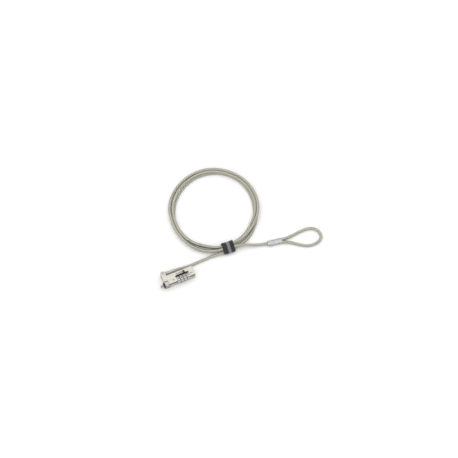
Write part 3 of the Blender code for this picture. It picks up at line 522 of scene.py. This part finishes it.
def add_rod(mesh, axis, centre, low, high, radius, steps=48):
    add_turned(mesh, rod_profile(low, high, radius), axis, centre, steps)


def solids(*parts):
    """A new mesh of solids, each given as the function that adds it and what that takes."""
    mesh = bmesh.new()
    for add, *details in parts:
        add(mesh, *details)
    return mesh


def add_quad(mesh, layer, corners, places):
    """A face with UVs."""
    face = mesh.faces.new(corners)
    for loop, place in zip(face.loops, places):
        loop[layer].uv = place


def eased(profile, radius, steps=4):
    """The profile with each inner corner rounded off."""
    out = [profile[0]]
    for before, corner, after in zip(profile, profile[1:], profile[2:]):
        here = Vector(corner)
        back, on = Vector(before) - here, Vector(after) - here
        reach = min(radius, back.length * 0.45, on.length * 0.45)
        start, end = here + back.normalized() * reach, here + on.normalized() * reach
        for step in range(steps + 1):
            t = step / steps
            out.append(tuple(start * (1 - t) ** 2 + here * 2 * t * (1 - t) + end * t * t))
    out.append(profile[-1])
    return out


def eased_ring(ends, radii, radius):
    """The profile of a ring with its edges rounded off."""
    (low, high), (inner, outer) = ends, radii
    profile = [(low, inner), (low, outer), (high, outer), (high, inner), (low, inner)]
    return eased(profile, radius)[:-1]


def make(name, mesh, look, sharp=38.0):
    """Turns a mesh in the head's millimetres into an object in the frame's metres."""
    bmesh.ops.recalc_face_normals(mesh, faces=mesh.faces)
    matrix = Matrix.Translation(CORNER) @ Matrix.Scale(MM, 4)
    bmesh.ops.transform(mesh, matrix=matrix, verts=mesh.verts)
    data = bpy.data.meshes.new(name)
    mesh.to_mesh(data)
    mesh.free()
    data.shade_smooth()
    data.set_sharp_from_angle(angle=math.radians(sharp))
    if look:
        data.materials.append(looks[look])
    return show(name, data)


def boolean(target, mesh, operation="DIFFERENCE"):
    """Applies a Boolean with a throwaway tool."""
    tool = make("tool", mesh, None)
    modifier = target.modifiers.new("cut", "BOOLEAN")
    modifier.operation = operation
    modifier.solver = "EXACT"
    modifier.object = tool
    apply_modifiers(target)
    bpy.data.meshes.remove(tool.data)  # and the tool with it


def build(name, look, *parts):
    """A piece made of solids."""
    return make(name, solids(*parts), look)


def cut(target, *parts):
    """Cuts solids away together. The Boolean breaks if they overlap."""
    boolean(target, solids(*parts))


def apply_modifiers(target):
    """Replaces the object's mesh by what its modifiers make of it."""
    graph = bpy.context.evaluated_depsgraph_get()
    shown = target.evaluated_get(graph)
    data = bpy.data.meshes.new_from_object(shown, depsgraph=graph)
    old = target.data
    target.modifiers.clear()
    target.data = data
    data.name = target.name
    bpy.data.meshes.remove(old)


def bevel(target, width, segments=3, angle=38.0):
    modifier = target.modifiers.new("soften", "BEVEL")
    modifier.width = width * MM
    modifier.segments = segments
    modifier.limit_method = "ANGLE"
    modifier.angle_limit = math.radians(angle)
    modifier.miter_outer = "MITER_ARC"
    apply_modifiers(target)
    weigh_normals(target)


def weigh_normals(target, angle=50.0):
    """Smooth shading in which the large flat faces keep their own direction."""
    target.data.shade_smooth()
    target.data.set_sharp_from_angle(angle=math.radians(angle))
    modifier = target.modifiers.new("weigh", "WEIGHTED_NORMAL")
    modifier.weight = 100
    modifier.keep_sharp = True
    apply_modifiers(target)


def ride(piece, body, slot, *replaced):
    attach(piece, body)
    if replaced:
        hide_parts(*replaced)


# ---- camera, floor and light ----

def make_camera():
    azimuth, elevation = math.radians(CAMERA_AZIMUTH), math.radians(CAMERA_ELEVATION)
    target = at(*LOOK_AT)
    back = Vector((
        math.sin(azimuth) * math.cos(elevation),
        -math.cos(azimuth) * math.cos(elevation),
        math.sin(elevation),
    ))
    data = bpy.data.cameras.new("camera")
    data.lens = CAMERA_LENS
    data.clip_start = 0.05
    data.clip_end = 50.0
    camera = show("camera", data)
    camera.location = target + back * CAMERA_DISTANCE
    camera.rotation_euler = back.to_track_quat("Z", "Y").to_euler()
    bpy.context.scene.camera = camera


def make_stage():
    """A pale floor under soft studio light."""
    paper = Nodes("floor_paper")
    tones = (0.3, (0.905, 0.905, 0.900)), (0.7, (0.925, 0.925, 0.920))
    paper.set(Base_Color=paper.ramp(paper.noise(40.0, 3.0), *tones), Roughness=0.85)
    mesh = bmesh.new()
    bmesh.ops.create_grid(mesh, x_segments=2, y_segments=2, size=4.0)
    data = bpy.data.meshes.new("floor")
    mesh.to_mesh(data)
    mesh.free()
    data.materials.append(paper.material)
    floor = show("floor", data)
    floor.location = (0.0, 0.0, -0.00005)

    world = bpy.data.worlds.new("studio")
    world.use_nodes = True
    tree = world.node_tree
    background = tree.nodes["Background"]
    split = tree.nodes.new("ShaderNodeSeparateXYZ")
    tree.links.new(tree.nodes.new("ShaderNodeTexCoord").outputs["Generated"], split.inputs[0])
    ramp = tree.nodes.new("ShaderNodeValToRGB")
    for element, level in zip(ramp.color_ramp.elements, SKY):
        element.color = (level, level, level, 1.0)
    background.inputs["Strength"].default_value = SKY_STRENGTH
    tree.links.new(split.outputs["Z"], ramp.inputs["Fac"])
    tree.links.new(ramp.outputs["Color"], background.inputs["Color"])
    bpy.context.scene.world = world

    data = bpy.data.lights.new("key", "AREA")
    data.shape = "DISK"
    data.size = 1.4
    data.energy = 2.0
    light = show("key", data)
    away = Vector((-0.6, 0.6, 1.4))
    light.location = at(120.0, 60.0) + away
    light.rotation_euler = away.to_track_quat("Z", "Y").to_euler()
    settings = bpy.context.scene.view_settings
    settings.view_transform = "Standard"
    settings.look = "None"


# ---- the cable ----

def smoothstep(value, low, high):
    t = min(1.0, max(0.0, (value - low) / (high - low)))
    return t * t * (3 - 2 * t)


def bump_at(angle, middle, width):
    """1 at middle degrees, falling smoothly to 0 at width degrees on each side."""
    away = abs((angle - middle + 180.0) % 360.0 - 180.0)
    return 1.0 - smoothstep(away, 0.0, width)


def strap_lift(turned):
    """How far the strap lifts the bundle, this many degrees round from it."""
    away = min(turned, 360.0 - turned)
    return (STRAP_THICKNESS + 0.05) * (1.0 - smoothstep(away, 9.0, 36.0))


def between(places, position):
    """The pair at a position between whole places, the ends held."""
    position = min(len(places) - 1.0, max(0.0, position))
    index = min(len(places) - 2, int(position))
    return Vector(places[index]).lerp(Vector(places[index + 1]), position - index)


def coil_point(turn, turned):
    """The cable's centre on a turn (0 to 3), this many degrees past the strap.

    The four strands lie two by two. Just past the strap each moves round by one place, so that the
    cable winds on, and the first comes in from outside. Elsewhere the bundle lies a little looser.
    """
    angle = STRAP_ANGLE + turned
    half = STRAND_SPACING / math.sqrt(2)
    moved = smoothstep(turned, 16.0, 84.0)
    middle = CABLE_RADIUS + 0.05 + half * math.sin(math.radians(45.0 + 90.0 * moved))
    if turn == 0:  # beside the next turn, and down on to the floor
        across = half * math.cos(math.radians(-45.0 - 90.0 * moved)) + STRAND_SPACING
        height = CABLE_RADIUS + 0.05 + TAIL_RISE * (1.0 - smoothstep(turned, 6.0, 40.0))
    else:
        place = math.radians(45.0 - 90.0 * turn - 90.0 * moved)
        across, height = half * math.cos(place), middle + half * math.sin(place)
    position = turn - 1 + moved
    flat = bump_at(angle, 126.0, 46.0)
    parted = bump_at(angle, -129.0, 33.0)
    tight = max(
        bump_at(angle, 44.0, 38.0), bump_at(angle, 178.0, 26.0), bump_at(angle, STRAP_ANGLE, 16.0)
    )
    nestled = max(0.0, (1.0 - flat - parted) * (1.0 - tight))
    offset = between(FLATTENED, position) * flat + between(PARTED, position) * parted
    offset += between(NESTLED, position) * nestled
    across += offset.x
    height += offset.y
    wander = 0.4 * math.sin(math.radians(2 * angle + 50.0))
    radius = COIL_RADIUS + across + wander * smoothstep(min(turned, 360.0 - turned), 12.0, 50.0)
    along = math.radians(angle)
    return Vector((
        COIL_CENTRE[0] + radius * math.cos(along),
        COIL_CENTRE[1] + radius * math.sin(along),
        height + strap_lift(turned),
    ))


def cable_points():
    """The whole cable's centreline in order, from the end fitting to the ferrule's second bore."""
    points = [Vector(point) for point in LEAD_TO_LOCK]
    for turn in range(TURNS):
        for turned in range(0, 360, 12):
            points.append(coil_point(turn, float(turned)))
    last = coil_point(TURNS - 1, 359.99)
    points.append(last)
    points.append(Vector((127.2, 21.7, last.z + 0.1)))
    points.extend(Vector(point) for point in LEAD_TO_LOOP)
    points.extend(ferrule_points(-FERRULE_BORE))
    points.extend(Vector(point) for point in END_LOOP)
    points.extend(reversed(ferrule_points(FERRULE_BORE)))
    return points


def in_ferrule(along, across, up=0.0):
    """A point placed along and across the ferrule from its middle."""
    turn = Matrix.Rotation(math.radians(FERRULE_TILT), 3, "Z")
    return Vector(FERRULE_CENTRE) + turn @ Vector((along, across, up))


def ferrule_points(side):
    """Points through one of the ferrule's two bores, from its left end to its right."""
    return [in_ferrule(along, side) for along in (-9.5, -3.0, 3.0, 9.5)]


def smooth_route(points, spacing):
    """Points evenly this far apart on a centripetal Catmull-Rom curve through the given ones."""
    ends = [points[0] * 2 - points[1], *points, points[-1] * 2 - points[-2]]
    dense = []
    for a, b, c, d in zip(ends, ends[1:], ends[2:], ends[3:]):
        first = max((b - a).length, 1e-6) ** 0.5
        second = first + max((c - b).length, 1e-6) ** 0.5
        third = second + max((d - c).length, 1e-6) ** 0.5
        steps = max(2, int((c - b).length / spacing * 3))
        for step in range(steps):
            t = first + (second - first) * step / steps
            ab = a.lerp(b, t / first)
            bc = b.lerp(c, (t - first) / (second - first))
            cd = c.lerp(d, (t - second) / (third - second))
            abc = ab.lerp(bc, t / second)
            bcd = bc.lerp(cd, (t - first) / (third - first))
            dense.append(abc.lerp(bcd, (t - first) / (second - first)))
    dense.append(points[-1])
    return even(dense, spacing)


def even(dense, spacing):
    """The polyline resampled at an even spacing."""
    lengths = [0.0]
    for start, end in zip(dense, dense[1:]):
        lengths.append(lengths[-1] + (end - start).length)
    count = round(lengths[-1] / spacing)
    found = []
    index = 0
    for step in range(count + 1):
        along = lengths[-1] * step / count
        while index < len(dense) - 2 and lengths[index + 1] < along:
            index += 1
        share = (along - lengths[index]) / max(lengths[index + 1] - lengths[index], 1e-9)
        found.append(dense[index].lerp(dense[index + 1], min(1.0, share)))
    return found


def heading(route, index):
    ahead, behind = route[min(index + 1, len(route) - 1)], route[max(index - 1, 0)]
    return (ahead - behind).normalized()


def carried_frames(route):
    """For each point the two directions across the route, turned as little as possible."""
    side = Vector((0.0, 0.0, 1.0))
    frames = []
    for index in range(len(route)):
        along = heading(route, index)
        side = (side - along * side.dot(along)).normalized()
        frames.append((side.copy(), along.cross(side)))
    return frames


def add_rope(mesh, route, spacing, radius, steps, relief):
    """A tube whose surface shows the rope's strands as a low helical relief, with UVs."""
    layer = mesh.loops.layers.uv.new("UVMap")
    rings = []
    for index, (centre, (side, across)) in enumerate(zip(route, carried_frames(route))):
        along = index * spacing
        ring = []
        for step in range(steps):
            share = step / steps
            strand = (share + along / ROPE_LAY) * ROPE_STRANDS
            hill = abs(math.cos(math.pi * strand))
            size = radius - relief + relief * 1.35 * (hill ** 0.7)
            angle = math.tau * share
            point = centre + (side * math.cos(angle) + across * math.sin(angle)) * size
            ring.append(mesh.verts.new(point))
        rings.append(ring)
    for index, (ring, following) in enumerate(zip(rings, rings[1:])):
        low, high = index * spacing, (index + 1) * spacing
        for step in range(steps):
            after = (step + 1) % steps
            corners = (ring[step], ring[after], following[after], following[step])
            start, end = step / steps, (step + 1) / steps
            places = ((start, low), (end, low), (end, high), (start, high))
            add_quad(mesh, layer, corners, places)
    mesh.faces.new(list(reversed(rings[0])))
    mesh.faces.new(rings[-1])


def make_cable():
    spacing = 0.62
    route = smooth_route(cable_points(), spacing)
    length = sum((b - a).length for a, b in zip(route, route[1:]))
    mesh = bmesh.new()
    add_rope(mesh, route, spacing, CABLE_RADIUS, 30, 0.22)
    cable = make("cable", mesh, "cable", 80.0)
    replaced = ("cable_lead_to_lock", "cable_coil", "cable_lead_to_loop", "cable_end_loop")
    ride(cable, "cable", "cable_coat", *replaced)
    return cable, route, length


# ---- the head ----

def make_base():
    """The lower shell: the CAD's shape with finer curves and softer edges."""
    over = BODY_HEIGHT + 1.0

    def open_above(x, y, floor):
        cut(base, (add_box, x, y, (floor, over)))

    # the lower shell takes the darker nickel copy, painted shade on its sides
    base = build("housing_shell", "shell", (add_prism, house_outline(), "Z", 0.0, BASE_TOP))
    bevel(base, 0.35, 4)
    nose = (-1.0, NOSE_LENGTH + GAP), (-1.0, NOSE_Y[1] + GAP), (NOSE_Z[0] - GAP, over)
    bays = []
    for centre in DIAL_CENTRES:
        width = (centre - BAY_HALF_WIDTH, centre + BAY_HALF_WIDTH)
        bays.append((add_box, width, (-1.0, BAY_BACK), (WINDOW_BOTTOM, over)))
    cut(base, (add_box, *nose), *bays)
    open_above(*CHAMBER)
    open_above(*CHANNEL)
    cut(base, (add_rod, "X", AXIS, *DIAL_ROW, DIAL_RADIUS + GAP, 96))
    open_above(*STEM_WAY)
    start, radius = RESET_HOLE
    reset_hole = (add_rod, "X", AXIS, start, BODY_LENGTH + 1.0, radius, 64)
    cut(base, (add_rod, "X", AXIS, *SEAT), reset_hole)
    cut(base, (add_rod, "X", AXIS, *SPINDLE_WAY))
    cut(base, (add_box, (-1.0, EAR_WIDTH + 1.0), (EAR_SLOT_FRONT, EAR_BACK + 1.0), EAR_SLOT))
    screw_holes = [(add_rod, "Z", screw, -1.0, *SCREW_HOLE) for screw in COVER_SCREWS]
    cut(base, (add_rod, "Z", PIVOT, -1.0, over, PIVOT_HOLE_RADIUS), *screw_holes)
    bevel(base, 0.12, 2)
    ride(base, "lock_head", "nickel_body", "housing_base")


def make_cover():
    """The top plate, black strips under it as painted shade in the seam and behind the nose, and
    black discs between the dials as painted shade.
    """
    over, below = BODY_HEIGHT + 1.0, COVER_BOTTOM - 1.0
    plate = (add_prism, house_outline(0.05, COVER_SETBACK), "Z", COVER_BOTTOM, BODY_HEIGHT)
    cover = build("top_plate", "nickel", plate)
    cut(cover,
        (add_box, (-1.0, NOSE_LENGTH + GAP), (-1.0, NOSE_Y[1] + NOSE_GAP), (below, over)),
        (add_box, DIAL_ROW, (-1.0, WINDOW_BACK), (below, over)))
    cut(cover,
        (add_prism, rounded_rectangle(SLOT_X, SLOT_Y, 1.0), "Z", below, over),
        (add_rod, "Z", PIVOT, below, over, PIVOT_HEAD_RADIUS + GAP, 64))
    sunk = (BODY_HEIGHT - 0.5, over, MARK_RADIUS + 0.05)
    cut(cover, *[(add_rod, "Z", dot, *sunk) for dot in INDEX_DOTS])
    bevel(cover, 0.16, 3)
    ride(cover, "lock_head", "nickel_body", "housing_cover")

    # painted shade: black strips fill the seam under the plate's set-back front edge and the gap
    # behind the nose, so that both read dark
    seam_shade_strips = []
    for ends in ((6.2, DIAL_ROW[0] - 0.1), (DIAL_ROW[1] + 0.1, BODY_LENGTH - 0.5)):
        outline = rounded_rectangle(ends, (0.12, COVER_SETBACK + 0.5), 0.25)
        seam_shade_strips.append((add_prism, outline, "Z", BASE_TOP - 0.02, COVER_BOTTOM + 0.2))
    behind_nose = (NOSE_Y[1] - 0.1, NOSE_Y[1] + NOSE_GAP + 0.1)
    seam_shade_strips.append((add_box, (0.35, NOSE_LENGTH + GAP), behind_nose, (10.0, 11.75)))
    ride(build("seam_shade_strip", "slot", *seam_shade_strips), "lock_head", "black_rubber")

    # painted shade: black discs between the dials darken the gaps between them
    gap_shade_discs = []
    for centre in DIAL_CENTRES[:-1]:
        middle = centre + DIAL_PITCH / 2
        ends = (middle - GAP_SHADE_DISC_HALF_WIDTH, middle + GAP_SHADE_DISC_HALF_WIDTH)
        gap_shade_discs.append((add_turned, eased_ring(ends, GAP_SHADE_DISC_RADII, 0.12), "X", AXIS, 96))
    ride(build("dial_gap_shade_discs", "slot", *gap_shade_discs), "lock_head", "black_plastic")


def make_nose():
    """The nose block, rounded like a cast steel part, the washer and the T-bar."""
    y, z = AXIS
    outline = rounded_rectangle(NOSE_Y, NOSE_Z, 0.8, 12)
    block = build("nose", "nose", (add_prism, outline, "X", 0.0, NOSE_LENGTH))
    bevel(block, 0.25, 4)
    for side in (-PIN_OFFSET, PIN_OFFSET):
        cut(block, (add_rod, "X", (y + side, z), -1.0, NOSE_LENGTH + 1.0, PIN_HOLE_RADIUS))
    wide, high = BAR_WAY
    cut(block, (add_box, (-1.0, 7.0), (y - wide, y + wide), (z - high, z + high)))
    weigh_normals(block)
    ride(block, "lock_head", "nose_steel", "nose_block")

    profile = eased_ring(WASHER_X, WASHER_RADII, 0.4)
    washer = build("washer", "rubber", (add_turned, profile, "X", AXIS, 96))
    ride(washer, "lock_head", "black_rubber", "nose_washer")

    head, neck, foot = BAR_HALF_WIDTHS
    shoulder = BAR_TIP + BAR_HEAD
    half = (
        (BAR_TIP, head, 0.5), (shoulder, head, 0.3), (shoulder, neck, 0.3),
        (BAR_FOOT[0], neck, 0.2), (BAR_FOOT[0], foot, 0.2), (BAR_FOOT[1], foot, 0.2),
    )
    corners = [(x, z - away, fillet) for x, away, fillet in half]
    corners += [(x, z + away, fillet) for x, away, fillet in reversed(half)]
    sides = (y - BAR_HALF_THICKNESS, y + BAR_HALF_THICKNESS)
    bar = build("t_head", "dark_steel", (add_prism, rounded(corners, 5), "Y", *sides))
    bevel(bar, 0.22, 3)
    ride(bar, "lock_head", "dark_steel", "t_bar")


def make_small_parts():
    """The rivet, the index dots and the reset screw."""
    crown, edge = BODY_HEIGHT + 0.3, PIVOT_HEAD_RADIUS
    profile = [
        (0.3, 0.0), (0.3, 1.2), (11.2, 1.2), (11.2, edge), (12.0, edge), (crown, edge - 0.6),
        (crown, 0.55), (crown - 0.15, 0.35), (crown - 0.15, 0.0),
    ]
    rivet = build("rivet", "nose", (add_turned, eased(profile, 0.2), "Z", PIVOT, 64))
    ride(rivet, "lock_head", "dark_steel", "pivot_pin")

    low, top, edge = BODY_HEIGHT - 0.35, BODY_HEIGHT + 0.1, MARK_RADIUS
    profile = eased([(low, 0.0), (low, edge), (top - 0.05, edge), (top, 0.5), (top, 0.0)], 0.08)
    for index, dot in enumerate(INDEX_DOTS, 1):
        mark = build(f"mark_{index}", "slot", (add_turned, profile, "Z", dot, 48))
        ride(mark, "lock_head", "black_plastic", f"index_dot_{index}")

    profile = eased(rod_profile(*RESET_X, RESET_RADIUS), 0.25)
    screw = build("reset_slot_screw", "nose", (add_turned, profile, "X", AXIS, 64))
    cut(screw, (add_box, *RESET_SLOT))
    weigh_normals(screw)
    ride(screw, "reset_key", "dark_steel", "reset_screw")


def make_slider():
    """The thumb slider: a ridged metal pad, a black lug and stem, and a black shutter."""
    left, right = PAD_X[0], STEM_X[0] - 0.2
    plate_top = PAD_Z[1] - 0.15
    outline = rounded_rectangle((left, right), PAD_Y, 0.7)
    pad = build("slider_pad", "nickel", (add_prism, outline, "Z", PAD_Z[0], plate_top))
    bevel(pad, 0.12, 2)
    ride(pad, "slide", "nickel_body")

    ridges = []
    pitch = (right - left - 0.3) / RIDGES
    foot, top = plate_top - 0.1, PAD_Z[1] + 0.35
    for index in range(RIDGES):
        start = left + 0.3 + pitch * (index + 0.25)
        end = start + pitch * 0.36
        side = rounded((
            (start, foot, 0.0), (end, foot, 0.0), (end - 0.08, top, 0.25), (start + 0.08, top, 0.25)
        ), 5)
        ridges.append((add_prism, side, "Y", PAD_Y[0] + 0.4, PAD_Y[1] - 0.25))
    ride(build("slider_ridges", "slot", *ridges), "slide", "black_plastic")

    (left, right), foot, top = (STEM_X[0], PAD_X[1]), PAD_Z[0], PAD_Z[1] + 1.1
    side = rounded(((left, foot, 0.0), (right, foot, 0.0), (right, top, 0.5), (left, top, 0.5)), 6)
    stem = (STEM_X[0] + 0.1, STEM_X[1] - 0.1)
    lug = build(
        "slider_lug", "plastic",
        (add_prism, side, "Y", STEM_Y[0], PAD_Y[1]),
        (add_box, stem, STEM_Y, (9.9, foot + 0.05)),
        (add_box, (stem[0] - 0.2, stem[1] + 0.2), (9.12, 11.3), (9.88, 10.7)),
    )
    bevel(lug, 0.15, 3)
    cover = (add_prism, rounded_rectangle(*SHUTTER, 0.4), "Z", BASE_TOP + 0.03, BASE_TOP + 0.16)
    ride(build("slider_shutter", "slot", cover), "slide", "black_plastic")
    ride(lug, "slide", "black_plastic", "thumb_slider")


# ---- dials ----

def rim_radius(angle):
    """The dial's radius by angle: ten lands, the first centred on -Y, and rounded grooves."""
    share = ((angle - math.pi) / math.tau * DIAL_DIGITS + 0.5) % 1.0
    away = abs(share - 0.5) * 2.0
    return DIAL_RADIUS - GROOVE_DEPTH * smoothstep(away, 0.66, 0.94)


def add_stroke(mesh, points, place, width, height):
    """A raised line of paint along (u, v) points, laid by place(u, v, up)."""
    route = smooth_route([Vector((*point, 0.0)) for point in points], 0.09)
    rings = []
    for index, centre in enumerate(route):
        along = heading(route, index)
        out = Vector((-along.y, along.x, 0.0)) * width / 2
        ring = []
        for side, up in ((-1, -height), (1, -height), (1, height), (-1, height)):
            corner = centre + out * side
            ring.append(place(corner.x, corner.y, up))
        rings.append(ring)
    add_rings(mesh, rings, capped=True)


def make_dial(index, middle):
    """One dial: a ring with grooved rim and rolled edges, and its painted digits."""
    half = DIAL_WIDTH / 2
    edge = ((0.0, None), (0.0, 0.5), (0.10, 0.22), (0.24, 0.06), (0.42, 0.0))  # inwards, drop
    rows = [(inwards - half, drop) for inwards, drop in edge]
    rows += [(half - inwards, drop) for inwards, drop in reversed(edge)]
    steps = 240
    mesh = bmesh.new()
    rings = []
    for along, drop in rows:
        ring = []
        for step in range(steps):
            angle = math.tau * step / steps
            radius = DIAL_BORE if drop is None else rim_radius(angle) - drop
            y, z = AXIS[0] + radius * math.cos(angle), AXIS[1] + radius * math.sin(angle)
            ring.append((middle + along, y, z))
        rings.append(ring)
    for face in add_rings(mesh, rings, closed=True):  # the grooves' faces are painted black, painted shade in the grooves
        away = face.calc_center_median().yz - Vector(AXIS)
        in_shaded_groove = rim_radius(math.atan2(away.y, away.x)) < DIAL_RADIUS - 0.12
        if in_shaded_groove and away.length > DIAL_RADIUS - 0.6:
            face.material_index = 1
    dial = make(f"dial_ring_{index}", mesh, "dial", 50.0)
    # the second material, black, paints shade on the grooves' faces
    dial.data.materials.append(looks["slot"])
    ride(dial, f"dial_{index}", "dial_plastic", f"dial_{index}")

    mesh = bmesh.new()
    for digit, strokes in enumerate(DIGIT_STROKES):
        start = math.pi - math.tau * digit / DIAL_DIGITS

        def place(u, v, up):
            angle = start - v / DIAL_RADIUS
            radius = DIAL_RADIUS + up
            y, z = AXIS[0] + radius * math.cos(angle), AXIS[1] + radius * math.sin(angle)
            return (middle + u, y, z)

        for stroke in strokes:
            points = [(u * DIGIT_SCALE[0], v * DIGIT_SCALE[1]) for u, v in stroke]
            add_stroke(mesh, points, place, LINE_WIDTH, 0.035)
    digits = make(f"dial_digits_{index}", mesh, "ink", 30.0)
    ride(digits, f"dial_{index}", "black_plastic")


# ---- the cable's fittings ----

def tilted(mesh):
    """The end fitting's mesh, turned about the pivot to the way the cable leaves it."""
    middle = Vector((*PIVOT, FITTING_Z))
    turn = Matrix.Rotation(math.radians(FITTING_TILT), 4, "Z")
    matrix = Matrix.Translation(middle) @ turn @ Matrix.Translation(-middle)
    bmesh.ops.transform(mesh, matrix=matrix, verts=mesh.verts)
    return mesh


def make_terminal():
    """The eye and pressed barrel on the cable's end."""
    profile = eased([(PIVOT[0] + along, radius) for along, radius in BARREL_PROFILE], 0.2, 3)
    mesh = solids((add_turned, profile, "X", (PIVOT[1], FITTING_Z), 72))
    barrel = make("end_fitting", tilted(mesh), "nose")
    low, high = FITTING_Z - COLLAR, FITTING_Z + COLLAR
    profile = eased(rod_profile(low, high, EYE_RADIUS), 0.5)
    boolean(barrel, tilted(solids((add_turned, profile, "Z", PIVOT, 72))), "UNION")
    cut(barrel, (add_rod, "Z", PIVOT, low - 1.0, high + 1.0, PIVOT_HOLE_RADIUS))
    weigh_normals(barrel, 35.0)
    ride(barrel, "cable", "aluminium", "cable_terminal")


def make_ferrule():
    """The pressed oval sleeve: eased ends and three crimped flats."""
    length, width, height = FERRULE_SIZE
    rows, steps = 96, 72
    mesh = bmesh.new()
    rings = []
    for row in range(rows + 1):
        share = row / rows
        along = (share - 0.5) * length
        end = min(share, 1.0 - share) * length
        ease = math.sqrt(max(0.0, 1.0 - (1.0 - min(1.0, end / 0.9)) ** 2))
        size = 0.84 + 0.16 * ease
        crimp = 0.0
        for place in FERRULE_CRIMPS:
            crimp = max(crimp, 1.0 - smoothstep(abs(along - place), 1.5, 2.1))
        ring = []
        for step in range(steps):
            angle = math.tau * step / steps
            c, s = math.cos(angle), math.sin(angle)
            across = math.copysign(abs(c) ** 0.72, c) * width / 2 * (size - 0.022 * crimp)
            up = math.copysign(abs(s) ** 0.80, s) * height / 2 * (size - 0.085 * crimp)
            ring.append(in_ferrule(along, across, up))
        rings.append(ring)
    add_rings(mesh, rings, capped=True)
    ferrule = make("crimp_sleeve", mesh, "aluminium", 40.0)
    ride(ferrule, "cable", "aluminium", "loop_ferrule")
    return ferrule


# ---- the strap ----

def strap_hull():
    """The outline round the five strands under the strap: (outwards from the coil's middle, up)."""
    middle = Vector((*COIL_CENTRE, 0.0))
    strands = [coil_point(turn, 0.0) for turn in range(TURNS)]
    strands.append(coil_point(TURNS - 1, 359.99))
    points = []
    for strand in strands:
        out = (strand - middle).to_2d().length
        points.extend(circle((out, strand.z), CABLE_RADIUS + 0.12 + STRAP_THICKNESS / 2, 48))
    order = convex_hull_2d(points)
    leftmost = order.index(min(order, key=lambda index: points[index]))
    hull = [Vector((*points[index], 0.0)) for index in order[leftmost:] + order[:leftmost]]
    return even([*hull, hull[0]], 0.25)[:-1]


def make_strap():
    """The hook-and-loop tape: once round the bundle, then on over the top and inner side."""
    hull = strap_hull()
    count = len(hull)
    first = max(range(count), key=lambda i: hull[i].x)  # starts low on the outer side
    laps = int(count * 1.46)
    columns = 26
    mesh = bmesh.new()
    layer = mesh.loops.layers.uv.new("UVMap")
    middle = Vector((*COIL_CENTRE, 0.0))
    facing = math.radians(STRAP_ANGLE)
    out = Vector((math.cos(facing), math.sin(facing), 0.0))
    along = Vector((-math.sin(facing), math.cos(facing), 0.0))
    rows = []
    for step in range(laps + 1):
        here = hull[(first + step) % count]
        ahead, behind = hull[(first + step + 2) % count], hull[(first + step - 2) % count]
        way = (ahead - behind).normalized()
        normal = Vector((way.y, -way.x, 0.0))
        lap = smoothstep(step, count - 34, count - 6)
        thinned = 0.35 + 0.65 * min(smoothstep(step, 0, 3), smoothstep(laps - step, 0, 3))
        slip = 0.45 * lap + 0.12 * math.sin(step * 0.055)
        row = []
        for face in (1, -1):
            for column in range(columns + 1):
                share = column / columns
                edge = min(share, 1.0 - share) * STRAP_WIDTH
                roll = math.sqrt(max(0.0, 1.0 - (1.0 - min(1.0, edge / 0.5)) ** 2))
                thick = STRAP_THICKNESS / 2 * (0.25 + 0.75 * roll) * thinned
                thick *= 1.0 + 0.10 * (1.0 - smoothstep(edge, 0.6, 1.4))
                wave = 0.07 * math.sin(step * 0.21 + column * 0.9) * roll
                up = lap * (STRAP_THICKNESS + 0.04) + face * thick + wave * (face > 0)
                spot = here + normal * up
                sideways = (share - 0.5) * STRAP_WIDTH + slip
                bow = spot.x - math.sqrt(spot.x**2 - sideways**2)
                place = middle + out * (spot.x - bow) + along * sideways
                row.append(mesh.verts.new((place.x, place.y, max(0.02, spot.y))))
        rows.append(row)
    length = 0.0
    wide = columns + 1
    for row, following in zip(rows, rows[1:]):
        before = length
        length += (following[columns // 2].co - row[columns // 2].co).length
        quads = [(0, wide, 0.0, 0.0), (columns, wide + columns, 0.0, 0.0)]
        for column in range(columns):
            for a in (column, wide + column):
                quads.append((a, a + 1, column / columns, (column + 1) / columns))
        for a, b, left, right in quads:
            corners = (row[a], row[b], following[b], following[a])
            places = ((left, before), (right, before), (right, length), (left, length))
            add_quad(mesh, layer, corners, places)
    for row in (rows[0], rows[-1]):
        for column in range(columns):
            a, b = column, wide + column
            mesh.faces.new((row[a], row[a + 1], row[b + 1], row[b]))
    strap = make("cable_tie_strap", mesh, "strap", 60.0)
    ride(strap, "cable", "strap_fabric", "cable_strap")
    return strap


# ---- springs and the CAD's own pieces ----

def make_spring():
    """The return spring."""
    route = []
    steps = SPRING_TURNS * 28
    for step in range(steps + 1):
        share = step / steps
        angle = math.tau * SPRING_TURNS * share
        x = SPRING_X[0] + (SPRING_X[1] - SPRING_X[0]) * share
        across, up = SPRING_RADIUS * math.cos(angle), SPRING_RADIUS * math.sin(angle)
        route.append(Vector((x, AXIS[0] + across, AXIS[1] + up)))
    mesh = bmesh.new()
    rings = []
    for centre, (side, across) in zip(route, carried_frames(route)):
        ring = circle((0.0, 0.0), SPRING_WIRE, 12)
        rings.append([centre + side * u + across * v for u, v in ring])
    add_rings(mesh, rings, capped=True)
    spring = make("coil_spring", mesh, "spring", 60.0)
    ride(spring, "lock_head", "spring_steel", "return_spring")
    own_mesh(spring)


def finish_cad_nodes():
    """Gives the CAD pieces that stay their finish."""
    for names, look in (
        (("cover_screw_1", "cover_screw_2"), "dark_steel"),
        (("pin_carrier", "spindle", "slide_bar", "detent_spring"), "spring"),
        ([f"dial_sleeve_{index}" for index in range(1, DIAL_COUNT + 1)], "spring"),
        (("slot_liner",), "slot"),
    ):
        for name in names:
            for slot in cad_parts[name].material_slots:
                slot.material = looks[look]


make_camera()
make_stage()
looks = all_materials()
make_base()
make_cover()
make_nose()
make_small_parts()
make_slider()
for dial_index, dial_middle in enumerate(DIAL_CENTRES, 1):
    make_dial(dial_index, dial_middle)
make_spring()
finish_cad_nodes()
make_terminal()
ferrule = make_ferrule()
cable, cable_route, cable_length = make_cable()
strap = make_strap()
tuple(at(*LEAD_TO_LOCK[0]))
[tuple(at(*point)) for point in cable_route[::4]]
